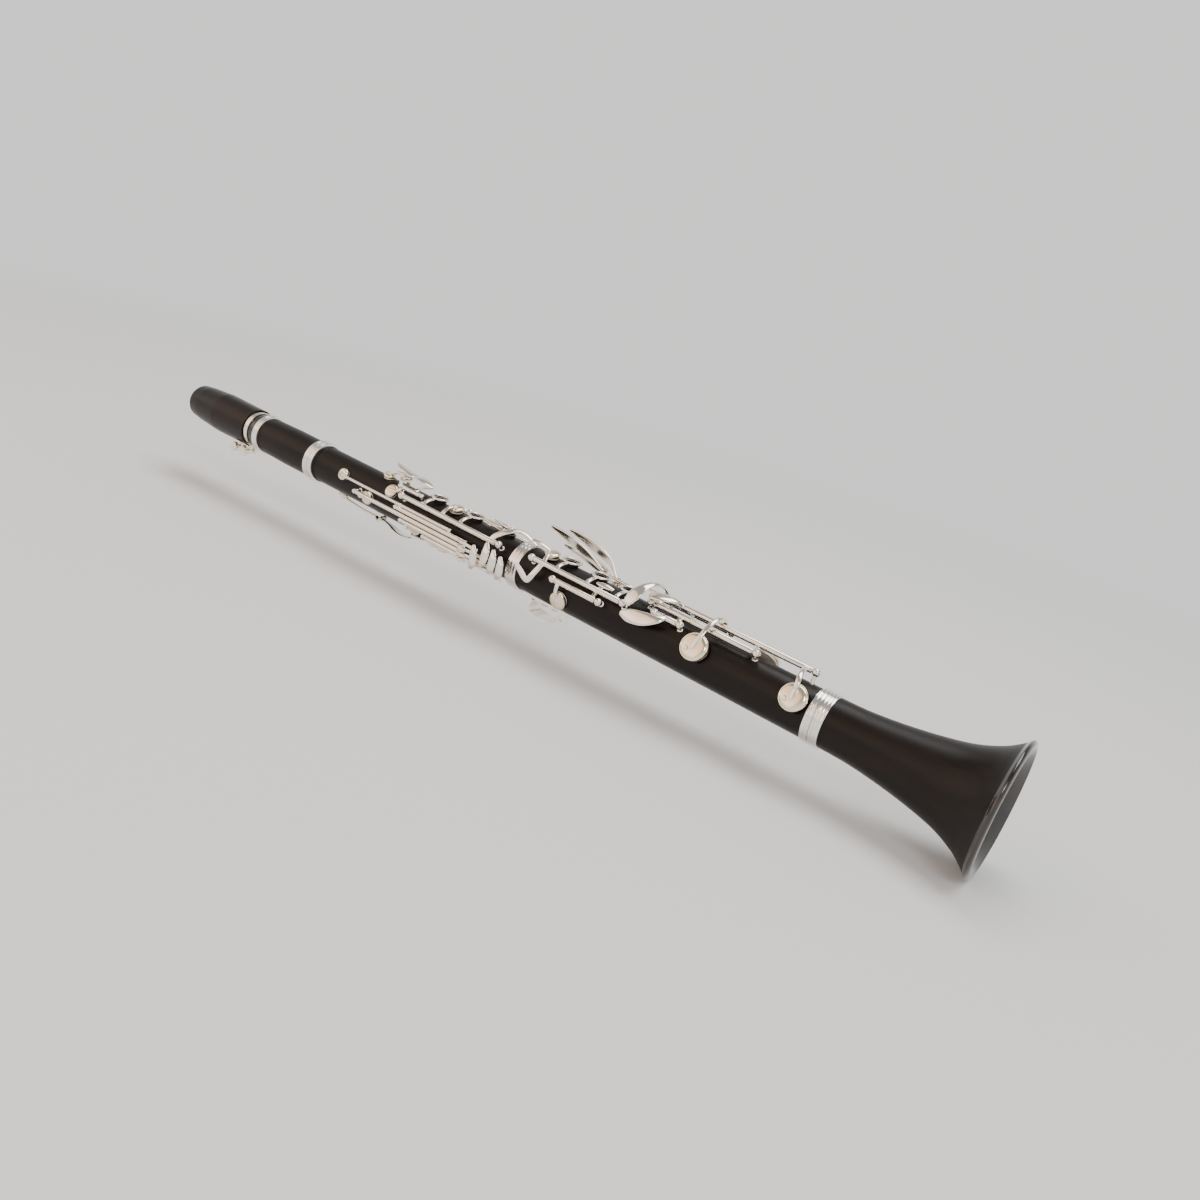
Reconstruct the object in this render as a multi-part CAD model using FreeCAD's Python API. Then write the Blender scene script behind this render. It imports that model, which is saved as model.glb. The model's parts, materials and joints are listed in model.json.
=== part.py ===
"""A B-flat clarinet: five wooden or moulded sections, silvered keys on steel rods.

Every size is in millimetres.  The instrument is laid out along its bore line: x runs from
the mouthpiece tip towards the bell, z points out of the front, where the finger holes are,
and y points to the player's left.  A place on the outside is given as a station x, an angle
phi from the front (positive towards the side trill keys) and a distance rho from the bore
line.  At the end the whole instrument is pitched so that it lies on the bell rim and the
ligature screws, with the origin under the middle of its box.
"""
import FreeCAD, Part
import math
import os

V = FreeCAD.Vector

# ---------------------------------------------------------------- driving dimensions
BORE_R = 7.4
CAP_END = -10.0
CAP_OPEN = 62.0
CAP_WALL = 1.1
CAP_CLEARANCE = 0.3
BARREL_TOP = 74.0
BARREL_BOTTOM = 138.4
UPPER_TOP = 138.7
JOINT_LINE = 335.0
LOWER_BOTTOM = 557.0
BELL_END = 662.0

UPPER_R = 13.4
LOWER_R = 14.6
LOWER_END_R = 15.3
BARREL_R = 13.9
SHANK_R = 13.3
BELL_RIM_R = 39.8

MOUTH_SOCKET_R = 11.0
TOP_SOCKET_R = 10.9
MIDDLE_SOCKET_R = 11.6
BELL_SOCKET_R = 12.2
TENON_LENGTH = 17.0
CORK_DEPTH = 0.9
SOCKET_PLAY = 0.05

RING_R = 15.1
JOINT_RING_R = 16.3
BELL_RING_R = 16.6
RING_DEPTH = 1.3
LOWER_RING_LENGTH = 4.8

ROD_R = 1.0
ROD_PLAY = 0.05
TUBE_R = 1.8
SLIM_TUBE_R = 1.5
BALL_R = 2.5
SMALL_BALL_R = 1.65
END_PLAY = 0.12
STEM_R = 1.2
STEM_DEPTH = 2.5

SMALL_CUP_R = 4.9
DOME_CUP_R = 5.2
LARGE_CUP_R = 8.6
PAD_INSET = 0.5
CLOSED_GAP = 0.12
OPEN_GAP = 1.2
LARGE_OPEN_GAP = 2.6
SEAT_DEPTH = 0.7

CHIMNEY_R = 4.8
CHIMNEY_RISE = 1.9
FINGER_HOLE_R = 3.4
RING_CLEARANCE = 0.5
RING_BREADTH = 1.6
FINGER_RING_HOLE = CHIMNEY_R + RING_CLEARANCE
FINGER_RING_R = FINGER_RING_HOLE + RING_BREADTH

SCREW_STATIONS = [49.0, 60.0]
SCREW_HEAD_R = 3.7
SCREW_DROP = 18.9
SCREW_R = 1.4

THUMB_REST_X = 368.0

# Plate that carries the lower ends of the trill tubes, and the touches beyond it
TRILL_BRACKET_X = 301.0
TRILL_BRACKET_T = 2.2
TRILL_TUBE_END = TRILL_BRACKET_X - 0.2
TRILL_TOUCH_X = [314.5, 322.7, 329.3, 335.9]
TRILL_TOUCH_PHI = [99.0, 86.0, 92.0, 97.0]
TRILL_TOUCH_HALF = 19.0

# Cross pins: station, angle, distance from the bore line
REGISTER_PIVOT = (208.0, 180.0, 17.6)
THROAT_A_PIVOT = (222.0, 1.0, 18.4)
CROSS_HALF = 2.6
EAR_T = 1.8
EAR_GAP = 0.12

# ---------------------------------------------------------------- hinges
# name: angle, distance from the bore line, first and last station of the tube, tube radius
HINGES = {
    "throat_g_sharp": (38.0, 18.4, 229.5, 247.0, SLIM_TUBE_R),
    "trill_1": (84.0, 19.6, 237.4, TRILL_TUBE_END, SLIM_TUBE_R),
    "trill_2": (94.5, 19.6, 197.0, TRILL_TUBE_END, SLIM_TUBE_R),
    "trill_3": (105.0, 19.6, 244.0, TRILL_TUBE_END, SLIM_TUBE_R),
    "trill_4": (115.5, 19.6, 266.0, TRILL_TUBE_END, SLIM_TUBE_R),
    "upper_ring": (57.5, 19.0, 238.0, 322.4, TUBE_R),
    "sliver_upper": (-28.0, 17.8, 298.4, 312.4, SLIM_TUBE_R),
    "c_sharp": (-63.0, 20.0, 266.0, 326.0, TUBE_R),
    "thumb_ring": (-146.0, 18.4, 240.0, 279.0, TUBE_R),
    "lower_ring": (51.0, 20.0, 354.8, 421.4, TUBE_R),
    "sliver_lower": (69.0, 19.8, 376.2, 406.8, TUBE_R),
    "e_b": (-4.0, 22.0, 450.0, 542.0, TUBE_R),
    "f_c": (18.0, 19.6, 440.0, 508.0, TUBE_R),
    "f_sharp": (-26.0, 20.6, 436.0, 484.0, TUBE_R),
    "a_flat": (38.0, 19.4, 447.0, 460.0, TUBE_R),
}
TRILLS = ["trill_1", "trill_2", "trill_3", "trill_4"]

# Pads: name: station, angle, cup radius, rest gap under the pad
PADS = {
    "register": (168.0, 180.0, 4.2, CLOSED_GAP),
    "throat_a": (207.5, 6.0, 4.6, CLOSED_GAP),
    "throat_g_sharp": (222.0, 55.0, SMALL_CUP_R, CLOSED_GAP),
    "trill_1": (176.0, 74.0, 4.3, CLOSED_GAP),
    "trill_2": (203.5, 103.0, SMALL_CUP_R, CLOSED_GAP),
    "trill_3": (250.0, 125.0, SMALL_CUP_R, CLOSED_GAP),
    "trill_4": (276.0, 137.0, SMALL_CUP_R, CLOSED_GAP),
    "upper_ring": (274.5, 13.0, DOME_CUP_R, OPEN_GAP),
    "sliver_upper": (305.0, -49.0, 4.4, CLOSED_GAP),
    "c_sharp": (272.0, -37.0, SMALL_CUP_R, CLOSED_GAP),
    "thumb_ring": (270.0, 180.0, DOME_CUP_R, OPEN_GAP),
    "lower_ring": (358.6, 12.0, DOME_CUP_R, OPEN_GAP),
    "sliver_lower": (380.0, 108.0, 6.0, CLOSED_GAP),
    "e_b": (543.2, 62.0, 8.3, LARGE_OPEN_GAP),
    "f_c": (510.0, -52.0, LARGE_CUP_R, LARGE_OPEN_GAP),
    "f_sharp": (478.0, 62.0, LARGE_CUP_R, LARGE_OPEN_GAP),
    "a_flat": (458.0, -54.0, 6.6, CLOSED_GAP),
}

# Finger holes with a raised chimney: station, angle
UPPER_CHIMNEYS = [(255.6, 0.0), (289.6, 0.0), (319.0, 0.0), (247.0, 180.0)]
LOWER_CHIMNEYS = [(372.0, 0.0), (395.6, 0.0), (417.9, 0.0)]

# Left-hand levers: name: angle, then (station, distance) along the blade
LEVERS = {
    "lever_f_sharp": (-41.0, [(335, 34.5), (350, 32.0), (364.5, 28.6), (378, 24.8), (390, 21.0), (412, 19.6)]),
    "lever_e_b": (-51.5, [(343.5, 42.0), (357, 40.5), (370, 37.3), (385, 32.2), (399, 21.4), (413, 19.6)]),
    "lever_f_c": (-64.0, [(343, 36.0), (358, 35.0), (373, 31.6), (385, 28.0), (397, 21.2), (412, 19.6)]),
}
LEVER_PIVOT = 4
LEVER_WIDTHS = [2.6, 6.2, 7.0, 5.2, 2.0, 2.0]
LEVER_LEANS = [-30.0, -30.0, -30.0, -18.0, 0.0, 0.0]
LEVER_HALF = 1.1
LEVER_EAR_T = 0.8
LEVER_EAR_R = 1.9

LIGATURE_R = 14.0
LIGATURE_WALL = 0.75

THUMB_SCREWS = [THUMB_REST_X - 5.5, THUMB_REST_X + 2.5]
SPRINGS_AT_THE_BELL_END = ["upper_ring", "lower_ring"]


# ---------------------------------------------------------------- placing and shaping
def at(x, phi, rho):
    """Point at station x, angle phi and distance rho."""
    a = math.radians(phi)
    return V(x, -rho * math.sin(a), rho * math.cos(a))


def around(phi):
    """Unit vector along the surface, towards larger angles."""
    a = math.radians(phi)
    return V(0, -math.cos(a), -math.sin(a))


def placed(shape, x, phi, rho):
    """Shape whose own z axis is turned to point straight out at phi."""
    shape = shape.copy()
    shape.Placement = FreeCAD.Placement(at(x, phi, rho), FreeCAD.Rotation(V(1, 0, 0), phi))
    return shape


def turned(profile):
    """Solid turned about the bore line from (station, radius) points."""
    points = [V(x, 0, r) for x, r in profile]
    face = Part.Face(Part.makePolygon(points + [points[0]]))
    return face.revolve(V(0, 0, 0), V(1, 0, 0), 360)


def disc(x0, x1, r):
    """Plain round plug on the bore line."""
    return Part.makeCylinder(r, x1 - x0, V(x0, 0, 0), V(1, 0, 0))


def band(x0, x1, outer, inner):
    """Plain sleeve on the bore line."""
    return disc(x0, x1, outer).cut(disc(x0 - 1, x1 + 1, inner))


def bar(start, end, r):
    """Round bar between two points."""
    run = end - start
    return Part.makeCylinder(r, run.Length, start, run)


def joined(shapes):
    """One solid from overlapping pieces."""
    whole = shapes[0]
    if len(shapes) > 1:
        whole = shapes[0].multiFuse(shapes[1:])
    whole = whole.removeSplitter()
    return whole.Solids[0] if len(whole.Solids) == 1 else whole


def strap(stations, leans=()):
    """Flat bar through stations of (x, phi, rho, width, thickness), leaning over by leans."""
    points = [at(x, phi, rho) for x, phi, rho, width, thick in stations]
    last = len(points) - 1
    wires = []
    for i, (x, phi, rho, width, thick) in enumerate(stations):
        run = points[min(i + 1, last)] - points[max(i - 1, 0)]
        side = run.cross(at(0, phi + (leans[i] if leans else 0.0), 1))
        side.normalize()
        up = side.cross(run)
        up.normalize()
        across = side * (width / 2)
        through = up * (thick / 2)
        corners = [points[i] + across + through, points[i] - across + through,
                   points[i] - across - through, points[i] + across - through]
        wires.append(Part.makePolygon(corners + [corners[0]]))
    return Part.makeLoft(wires, True, True)


def body_r(x):
    """Outside radius of the wood at a station."""
    if x < JOINT_LINE:
        return UPPER_R
    share = (x - JOINT_LINE) / (LOWER_BOTTOM - JOINT_LINE)
    return LOWER_R + (LOWER_END_R - LOWER_R) * share


def seat_rho(name):
    """Distance of the tone hole's rim from the bore line."""
    x, phi, cup_r, gap = PADS[name]
    return body_r(x) - SEAT_DEPTH


# ---------------------------------------------------------------- key parts
def pad_thickness(cup_r):
    return 1.5 + 0.2 * cup_r


def pad(name):
    """Round pad that closes one tone hole."""
    x, phi, cup_r, gap = PADS[name]
    body = Part.makeCylinder(cup_r - PAD_INSET, pad_thickness(cup_r))
    return placed(body, x, phi, seat_rho(name) + gap)


def cup_top(name):
    """Distance of the flat of the cup's back from the bore line."""
    x, phi, cup_r, gap = PADS[name]
    return seat_rho(name) + gap + pad_thickness(cup_r) + 0.9


def cup(name):
    """Shallow domed cup that holds a pad."""
    x, phi, cup_r, gap = PADS[name]
    rim = pad_thickness(cup_r) * 0.45
    back = pad_thickness(cup_r) + 0.9
    dome = 0.06 * cup_r + 0.2
    crown = V(0, 0, back + dome)
    shoulder = V(cup_r * 0.62, 0, back + dome * 0.62)
    edge = V(cup_r - 0.3, 0, back - 0.35)
    outline = [Part.Arc(crown, shoulder, edge).toShape(),
               Part.makeLine(edge, V(cup_r, 0, back - 0.8)),
               Part.makeLine(V(cup_r, 0, back - 0.8), V(cup_r, 0, rim)),
               Part.makeLine(V(cup_r, 0, rim), V(cup_r - PAD_INSET, 0, rim)),
               Part.makeLine(V(cup_r - PAD_INSET, 0, rim), V(cup_r - PAD_INSET, 0, back - 0.9)),
               Part.makeLine(V(cup_r - PAD_INSET, 0, back - 0.9), V(0, 0, back - 0.9)),
               Part.makeLine(V(0, 0, back - 0.9), crown)]
    shell = Part.Face(Part.Wire(outline)).revolve(V(0, 0, 0), V(0, 0, 1), 360)
    return placed(shell, x, phi, seat_rho(name) + gap)


def finger_ring(x, phi, rho):
    """Open ring that lies round a chimney."""
    ring = Part.makeCylinder(FINGER_RING_R, 1.7).cut(Part.makeCylinder(FINGER_RING_HOLE, 1.7))
    return placed(ring, x, phi, rho)


def hinged(name, pieces):
    """A key: its tube with everything soldered to it, drilled for the rod."""
    phi, rho, x0, x1, r = HINGES[name]
    tube = bar(at(x0, phi, rho), at(x1, phi, rho), r)
    drill = bar(at(x0 - 9, phi, rho), at(x1 + 9, phi, rho), ROD_R + ROD_PLAY)
    return joined([tube] + pieces).cut(drill)


def cup_arm(name, x, width=2.6, rise=0.0):
    """Arm from the hinge tube to the middle of the cup's back."""
    phi, rho = HINGES[name][:2]
    px, pphi, cup_r, gap = PADS[name]
    top = cup_top(name)
    middle = (phi + pphi) / 2
    step = math.copysign(math.degrees(cup_r / top), phi - pphi)
    return strap([(x, phi, rho, width + 0.8, 1.8),
                  ((x + px) / 2, middle, max(rho, top + 0.4) + rise, width, 1.6),
                  (px, pphi + step * 0.55, top + 0.45, width, 1.4),
                  (px, pphi - step * 0.2, top + 0.25, width * 0.8, 1.2)])


def ring_arm(name, x, ring_x, ring_rho):
    """Curved arm from the hinge tube to the near edge of a finger ring."""
    phi, rho = HINGES[name][:2]
    edge = math.degrees(FINGER_RING_R / ring_rho)
    return strap([(x, phi, rho, 4.2, 2.0),
                  ((x + ring_x) / 2, phi * 0.66 + edge * 0.34, rho - 0.1, 3.8, 1.8),
                  (ring_x, edge * 0.92, ring_rho + 1.0, 3.6, 1.5)])


# ---------------------------------------------------------------- upper joint keys
RING_RHO = UPPER_R + CHIMNEY_RISE - 0.2
LOWER_RING_RHO = LOWER_R + CHIMNEY_RISE - 0.1


def throat_g_sharp_key():
    touch = strap([(242, 38, 18.6, 3.4, 1.8), (241, 26, 18.2, 3.6, 1.2), (239.5, 8, 17.0, 4.4, 1.2),
                   (238.5, -12, 17.4, 6.2, 1.3), (238, -28, 18.4, 6.0, 1.3)])
    top = cup_top("throat_g_sharp")
    arm = strap([(231.2, 38, 18.4, 2.6, 1.6), (230.4, 48, 18.6, 2.6, 1.5), (226.4, 54, top + 0.8, 2.6, 1.4),
                 (221.0, 55, top + 0.35, 2.2, 1.2)])
    return hinged("throat_g_sharp", [arm, cup("throat_g_sharp"), touch])


def trill_1_key():
    """Long slim arm beside the tube, carried over it by two lugs."""
    arm = bar(at(179, 76, 19.4), at(287.5, 76, 20.0), 1.0)
    lugs = [strap([(x, 75, 20.0, 2.4, 1.4), (x, 84, 19.8, 2.4, 1.4)]) for x in (239, 286)]
    top = cup_top("trill_1")
    foot = strap([(174, 74, top + 0.3, 2.6, 1.4), (177, 74.6, top + 0.8, 2.8, 2.4), (181, 76, 19.3, 2.4, 2.0)])
    return hinged("trill_1", [arm, foot, cup("trill_1"), trill_touch(0)] + lugs)


def trill_touch(i):
    """One of four nested side touches: a domed crescent on a neck that rises over the plate."""
    phi, rho = HINGES[TRILLS[i]][:2]
    middle = TRILL_TOUCH_PHI[i]
    half = TRILL_TOUCH_HALF
    x = TRILL_TOUCH_X[i]
    top = 24.7 - 0.55 * i
    blade = strap([(x - 3.0, middle - half, top - 1.1, 3.0, 1.2),
                   (x - 0.8, middle - half * 0.5, top - 0.1, 5.4, 1.3),
                   (x, middle, top + 0.2, 6.0, 1.3),
                   (x - 0.8, middle + half * 0.5, top - 0.1, 5.4, 1.3),
                   (x - 3.0, middle + half, top - 1.1, 3.0, 1.2)])
    plate = TRILL_BRACKET_X
    neck = [(plate - 4.8, phi, rho + 0.3, 2.4, 2.0), (plate - 1.2, phi, rho + 2.8, 2.2, 1.3),
            (plate + 2.9, phi, rho + 2.8, 2.2, 1.3)]
    if i > 0:
        neck += [(plate + 5.0, phi, rho + 0.9, 2.2, 1.3), (x - 4.0, phi, rho + 0.6, 2.2, 1.3)]
    neck.append((x + 1.0, phi, top - 0.6, 2.2, 1.3))
    return joined([blade, strap(neck)])


def trill_key(i):
    name = TRILLS[i]
    return hinged(name, [cup_arm(name, HINGES[name][2] + 3.4), cup(name), trill_touch(i)])


def upper_ring_key():
    """Two finger rings and a pad on one tube, with the bridge over the joint."""
    rings = [finger_ring(x, 0, RING_RHO) for x in (255.6, 289.6)]
    arms = [ring_arm("upper_ring", x, x, RING_RHO) for x in (255.6, 289.6)]
    bridge = strap([(317.4, 57.5, 19.0, 3.8, 2.0), (320.0, 45, 20.6, 4.2, 1.8), (325.5, 30, 22.0, 4.2, 1.7),
                    (330.5, 16, 22.2, 4.0, 1.6), (337.0, 12, 20.9, 3.8, 1.5), (345.5, 15, 18.0, 3.2, 1.3)])
    return hinged("upper_ring", rings + arms + [cup_arm("upper_ring", 273.0), cup("upper_ring"), bridge])


def sliver_upper_key():
    leaf = strap([(305, -28, 17.8, 3.0, 1.6), (305, -12, 17.6, 3.0, 1.4), (305, 4, 17.2, 3.4, 1.4)])
    blade = strap([(298.6, 3.5, 16.9, 2.4, 1.4), (304, 4.5, 17.2, 4.2, 1.6), (312.0, 5, 16.9, 2.6, 1.4)])
    return hinged("sliver_upper", [leaf, blade, cup_arm("sliver_upper", 305.0), cup("sliver_upper")])


def c_sharp_key():
    touch = strap([(319.4, -63, 20.0, 3.4, 2.0), (321.4, -72, 21.8, 4.6, 1.7), (325, -86, 22.8, 7.6, 1.6),
                   (327, -101, 22.4, 7.0, 1.5)])
    return hinged("c_sharp", [cup_arm("c_sharp", 272.0), cup("c_sharp"), touch])


def thumb_ring_key():
    """Ring round the thumb hole, with a pad further down the back."""
    ring = finger_ring(247, 180, RING_RHO)
    arm = strap([(247, -146, 18.4, 3.2, 1.8), (247, -153, 17.6, 3.0, 1.6), (247, -158, 16.4, 2.8, 1.4)])
    phi, rho = HINGES["thumb_ring"][:2]
    top = cup_top("thumb_ring")
    link = strap([(270, phi, rho, 3.2, 1.8), (270, -160, rho + 0.2, 2.8, 1.6), (270, -178, top + 0.3, 2.4, 1.3)])
    return hinged("thumb_ring", [ring, arm, link, cup("thumb_ring")])


# ---------------------------------------------------------------- cross-pivoted keys
def cross_pin(x, phi, rho, half):
    """Pin across the instrument at a station."""
    centre = at(x, phi, rho)
    return bar(centre - around(phi) * half, centre + around(phi) * half, ROD_R)


def cross_tube(x, phi, rho, half, r=TUBE_R):
    centre = at(x, phi, rho)
    return bar(centre - around(phi) * half, centre + around(phi) * half, r)


def cross_drill(x, phi, rho, half):
    centre = at(x, phi, rho)
    return bar(centre - around(phi) * half, centre + around(phi) * half, ROD_R + ROD_PLAY)


def register_key():
    """Long rocker down the back: pad at the vent, touch above the thumb hole."""
    x, phi, rho = REGISTER_PIVOT
    top = cup_top("register")
    lever = strap([(165.5, 180, top + 0.35, 3.0, 1.3), (171, 180, top + 0.5, 3.2, 1.5), (188, 180, 17.9, 2.6, 1.6),
                   (208, 180, 17.8, 3.6, 2.0), (217, 180, 18.6, 5.0, 1.6), (226, 180, 20.4, 9.0, 1.5),
                   (233, 180, 20.9, 9.0, 1.5), (237.6, 180, 20.4, 6.0, 1.3)])
    body = joined([lever, cup("register"), cross_tube(x, phi, rho, CROSS_HALF)])
    return body.cut(cross_drill(x, phi, rho, 9))


def throat_a_key():
    """Short rocker on the front: pad near the top, leaf-shaped touch over the first finger hole."""
    x, phi, rho = THROAT_A_PIVOT
    top = cup_top("throat_a")
    lever = strap([(204.5, 5, top + 0.35, 3.0, 1.3), (209, 5, top + 0.7, 5.0, 1.6), (215, 3, 19.6, 4.4, 1.6),
                   (222, 1, 19.4, 3.8, 2.2), (225.4, 1.5, 20.2, 4.2, 1.8), (229.5, 2, 21.3, 8.4, 1.6),
                   (236, 4, 22.6, 9.4, 1.5),
                   (243, 6, 22.0, 7.6, 1.4), (249, 8, 20.6, 3.6, 1.2)])
    crest = strap([(207.5, -7, 24.4, 1.6, 1.5), (212.5, -4, 24.0, 6.0, 1.5), (220.5, 0, 23.1, 8.6, 1.5),
                   (229.5, 2, 21.9, 9.0, 1.8)])
    body = joined([lever, crest, cup("throat_a"), cross_tube(x, phi, rho, CROSS_HALF)])
    return body.cut(cross_drill(x, phi, rho, 9))


def ears(x, phi, rho, half):
    """Pair of small posts that hold a cross pin."""
    pieces = []
    for sign in (-1, 1):
        shift = around(phi) * (sign * (half + EAR_GAP + EAR_T / 2))
        eye = Part.makeCylinder(2.3, EAR_T, at(x, phi, rho) + shift - around(phi) * (EAR_T / 2), around(phi))
        foot_length = rho - body_r(x) + STEM_DEPTH
        foot = Part.makeBox(3.4, EAR_T, foot_length, V(-1.7, -EAR_T / 2, -foot_length))
        foot = placed(foot, x, phi, rho)
        foot.translate(shift)
        pieces.append(joined([eye, foot]))
    return pieces


def lever_key(name):
    """Left-hand little-finger lever: a long leaning blade that rocks on a cross pin."""
    phi, run = LEVERS[name]
    blade = strap([(x, phi, rho, w, 1.7) for (x, rho), w in zip(run, LEVER_WIDTHS)], LEVER_LEANS)
    x, rho = run[LEVER_PIVOT]
    tube = cross_tube(x, phi, rho, LEVER_HALF)
    return joined([blade, tube]).cut(cross_drill(x, phi, rho, 9))


# ---------------------------------------------------------------- lower joint keys
def lower_ring_key():
    """Three finger rings and a pad on one tube, with the arm to the upper bridge."""
    rings = [finger_ring(x, 0, LOWER_RING_RHO) for x, phi in LOWER_CHIMNEYS]
    arms = [ring_arm("lower_ring", x, x, LOWER_RING_RHO) for x, phi in LOWER_CHIMNEYS]
    elbow = strap([(361.5, 51, 20.0, 3.8, 1.8), (360.6, 67, 20.4, 4.0, 1.6), (357.8, 88, 20.8, 4.0, 1.6),
                   (354.8, 90, 20.8, 4.0, 1.6), (350.0, 82, 20.7, 3.8, 1.6), (345.6, 76, 20.5, 3.4, 1.5)])
    tab = strap([(356.5, 14, 19.4, 3.0, 1.3), (350, 16, 21.3, 3.2, 1.2), (343.5, 17, 21.6, 3.4, 1.2)])
    return hinged("lower_ring", rings + arms + [cup_arm("lower_ring", 361.5), cup("lower_ring"), elbow, tab])


def sliver_lower_key():
    reach = strap([(403, 69, 19.8, 3.0, 1.6), (403, 60, 17.0, 3.0, 1.0), (403, 47, 16.6, 3.0, 1.0),
                   (404, 33, 17.0, 3.2, 1.2)])
    blade = strap([(399.5, 31, 17.0, 2.4, 1.4), (405, 30, 17.4, 4.2, 1.6), (411, 29, 17.0, 2.4, 1.4)])
    return hinged("sliver_lower", [reach, blade, cup_arm("sliver_lower", 378.4), cup("sliver_lower")])


def large_arm(name, stations):
    """Straight strap over the back of a large cup, with the small ring at its end."""
    x, phi, cup_r, gap = PADS[name]
    boss = placed(Part.makeCylinder(1.7, 1.1), x - 3.4, phi + 8 * (1 if phi > 0 else -1), cup_top(name) + 0.2)
    return [strap(stations), boss]


def e_b_key():
    top = cup_top("e_b")
    arm = large_arm("e_b", [(538.8, -4, 22.0, 3.4, 1.8), (539.2, 10, 23.0, 3.2, 1.6), (541.2, 33, 24.6, 3.0, 1.6),
                            (542.4, 45, 23.9, 3.0, 1.4), (542.8, 54, top + 1.0, 3.0, 1.4),
                            (543.2, 66, top + 0.5, 2.6, 1.2)])
    touch = strap([(453.5, -4, 22.4, 4.2, 1.8), (451.5, 7, 25.0, 5.6, 1.7), (445, 16, 25.6, 9.0, 1.6),
                   (438, 21, 25.0, 7.0, 1.4)])
    return hinged("e_b", arm + [cup("e_b"), touch])


def f_c_key():
    top = cup_top("f_c")
    arm = large_arm("f_c", [(506, 18, 19.6, 3.6, 1.8), (506.4, 2, 18.0, 3.2, 1.5), (507.2, -12, 19.4, 3.0, 1.5),
                            (508.2, -28, 23.4, 3.0, 1.5), (509.2, -42, top + 1.1, 3.0, 1.4),
                            (510, -56, top + 0.5, 2.6, 1.2)])
    touch = strap([(442.4, 18, 19.8, 3.6, 1.6), (441.6, 8, 20.8, 4.0, 1.4), (438.5, -1, 22.2, 7.2, 1.6),
                   (432, -4, 22.8, 7.6, 1.5), (426.5, -5, 21.8, 5.0, 1.3)])
    return hinged("f_c", arm + [cup("f_c"), touch])


def f_sharp_key():
    top = cup_top("f_sharp")
    arm = large_arm("f_sharp", [(481.5, -26, 20.8, 3.8, 2.0), (481.2, -16, 24.6, 3.4, 1.8), (480.8, -2, 26.0, 3.2, 1.6),
                                (480, 16, 25.4, 3.0, 1.6), (479, 40, 22.9, 3.0, 1.6),
                                (478.2, 56, top + 0.7, 3.0, 1.4), (478, 66, top + 0.5, 2.6, 1.2)])
    touch = strap([(440.4, -26, 21.2, 4.0, 2.0), (438.0, -15, 25.6, 4.2, 1.6), (435.0, 2, 28.4, 4.6, 1.5),
                   (432.0, 22, 28.2, 6.4, 1.6), (430.0, 38, 26.4, 8.6, 1.6), (428.5, 50, 24.6, 6.0, 1.4)])
    return hinged("f_sharp", arm + [cup("f_sharp"), touch])


def a_flat_key():
    arm = strap([(457.8, 38, 19.4, 3.4, 1.8), (457.8, 28, 16.6, 3.2, 1.0), (457.8, 8, 16.3, 3.0, 1.0),
                 (458, -14, 16.5, 3.0, 1.0), (458, -25, 16.8, 3.0, 1.0), (458, -33.2, 17.5, 3.0, 1.0)])
    touch = strap([(452.0, 38, 19.6, 4.0, 1.8), (450.0, 50, 21.2, 5.4, 1.7), (442, 60, 21.6, 8.8, 1.6),
                   (433, 65, 21.4, 8.4, 1.5), (427, 66, 20.2, 4.4, 1.3)])
    return hinged("a_flat", [arm, cup("a_flat"), touch])


# ---------------------------------------------------------------- posts, rods, springs
def post(x, phi, rho, ball):
    """Ball-headed post screwed into the wood."""
    surface = body_r(x)
    head = Part.makeSphere(ball, at(x, phi, rho))
    stem = bar(at(x, phi, surface - STEM_DEPTH), at(x, phi, rho), min(STEM_R, ball * 0.7))
    collar = bar(at(x, phi, surface - 0.8), at(x, phi, surface + 0.7), min(STEM_R, ball * 0.7) + 0.6)
    return joined([head, stem, collar])


def post_ball(name):
    return SMALL_BALL_R if HINGES[name][4] == SLIM_TUBE_R else BALL_R


def post_stations(name):
    """Stations of the two posts that carry a tube."""
    phi, rho, x0, x1, r = HINGES[name]
    ball = post_ball(name)
    if name in TRILLS:
        return [x0 - ball - END_PLAY]
    return [x0 - ball - END_PLAY, x1 + ball + END_PLAY]


def tube_posts(names):
    posts = []
    for name in names:
        phi, rho = HINGES[name][:2]
        posts += [post(x, phi, rho, post_ball(name)) for x in post_stations(name)]
    return posts


def trill_bracket():
    """Curved plate that carries the lower ends of the four trill tubes."""
    low = UPPER_R - 1.5
    high = HINGES["trill_1"][1] + 1.6
    start, end = 79.0, 120.5
    face = Part.Face(Part.makePolygon([at(x, start, r) for x, r in (
        (TRILL_BRACKET_X, low), (TRILL_BRACKET_X, high), (TRILL_BRACKET_X + TRILL_BRACKET_T, high),
        (TRILL_BRACKET_X + TRILL_BRACKET_T, low), (TRILL_BRACKET_X, low))]))
    return face.revolve(V(0, 0, 0), V(1, 0, 0), end - start)


def hinge_rods():
    """Steel rods, one through each tube and into its posts, and the cross pins."""
    rods = []
    for name, (phi, rho, x0, x1, r) in HINGES.items():
        if name in TRILLS:
            first = post_stations(name)[0] - 0.6
            rods.append(bar(at(first, phi, rho), at(TRILL_BRACKET_X + 1.6, phi, rho), ROD_R))
        else:
            low, high = post_stations(name)
            rods.append(bar(at(low - 1.0, phi, rho), at(high + 1.0, phi, rho), ROD_R))
    rods.append(cross_pin(*REGISTER_PIVOT, CROSS_HALF + EAR_GAP + EAR_T))
    rods.append(cross_pin(*THROAT_A_PIVOT, CROSS_HALF + EAR_GAP + EAR_T))
    for phi, run in LEVERS.values():
        x, rho = run[LEVER_PIVOT]
        rods.append(cross_pin(x, phi, rho, LEVER_HALF + EAR_GAP + LEVER_EAR_T))
    return rods


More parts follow.
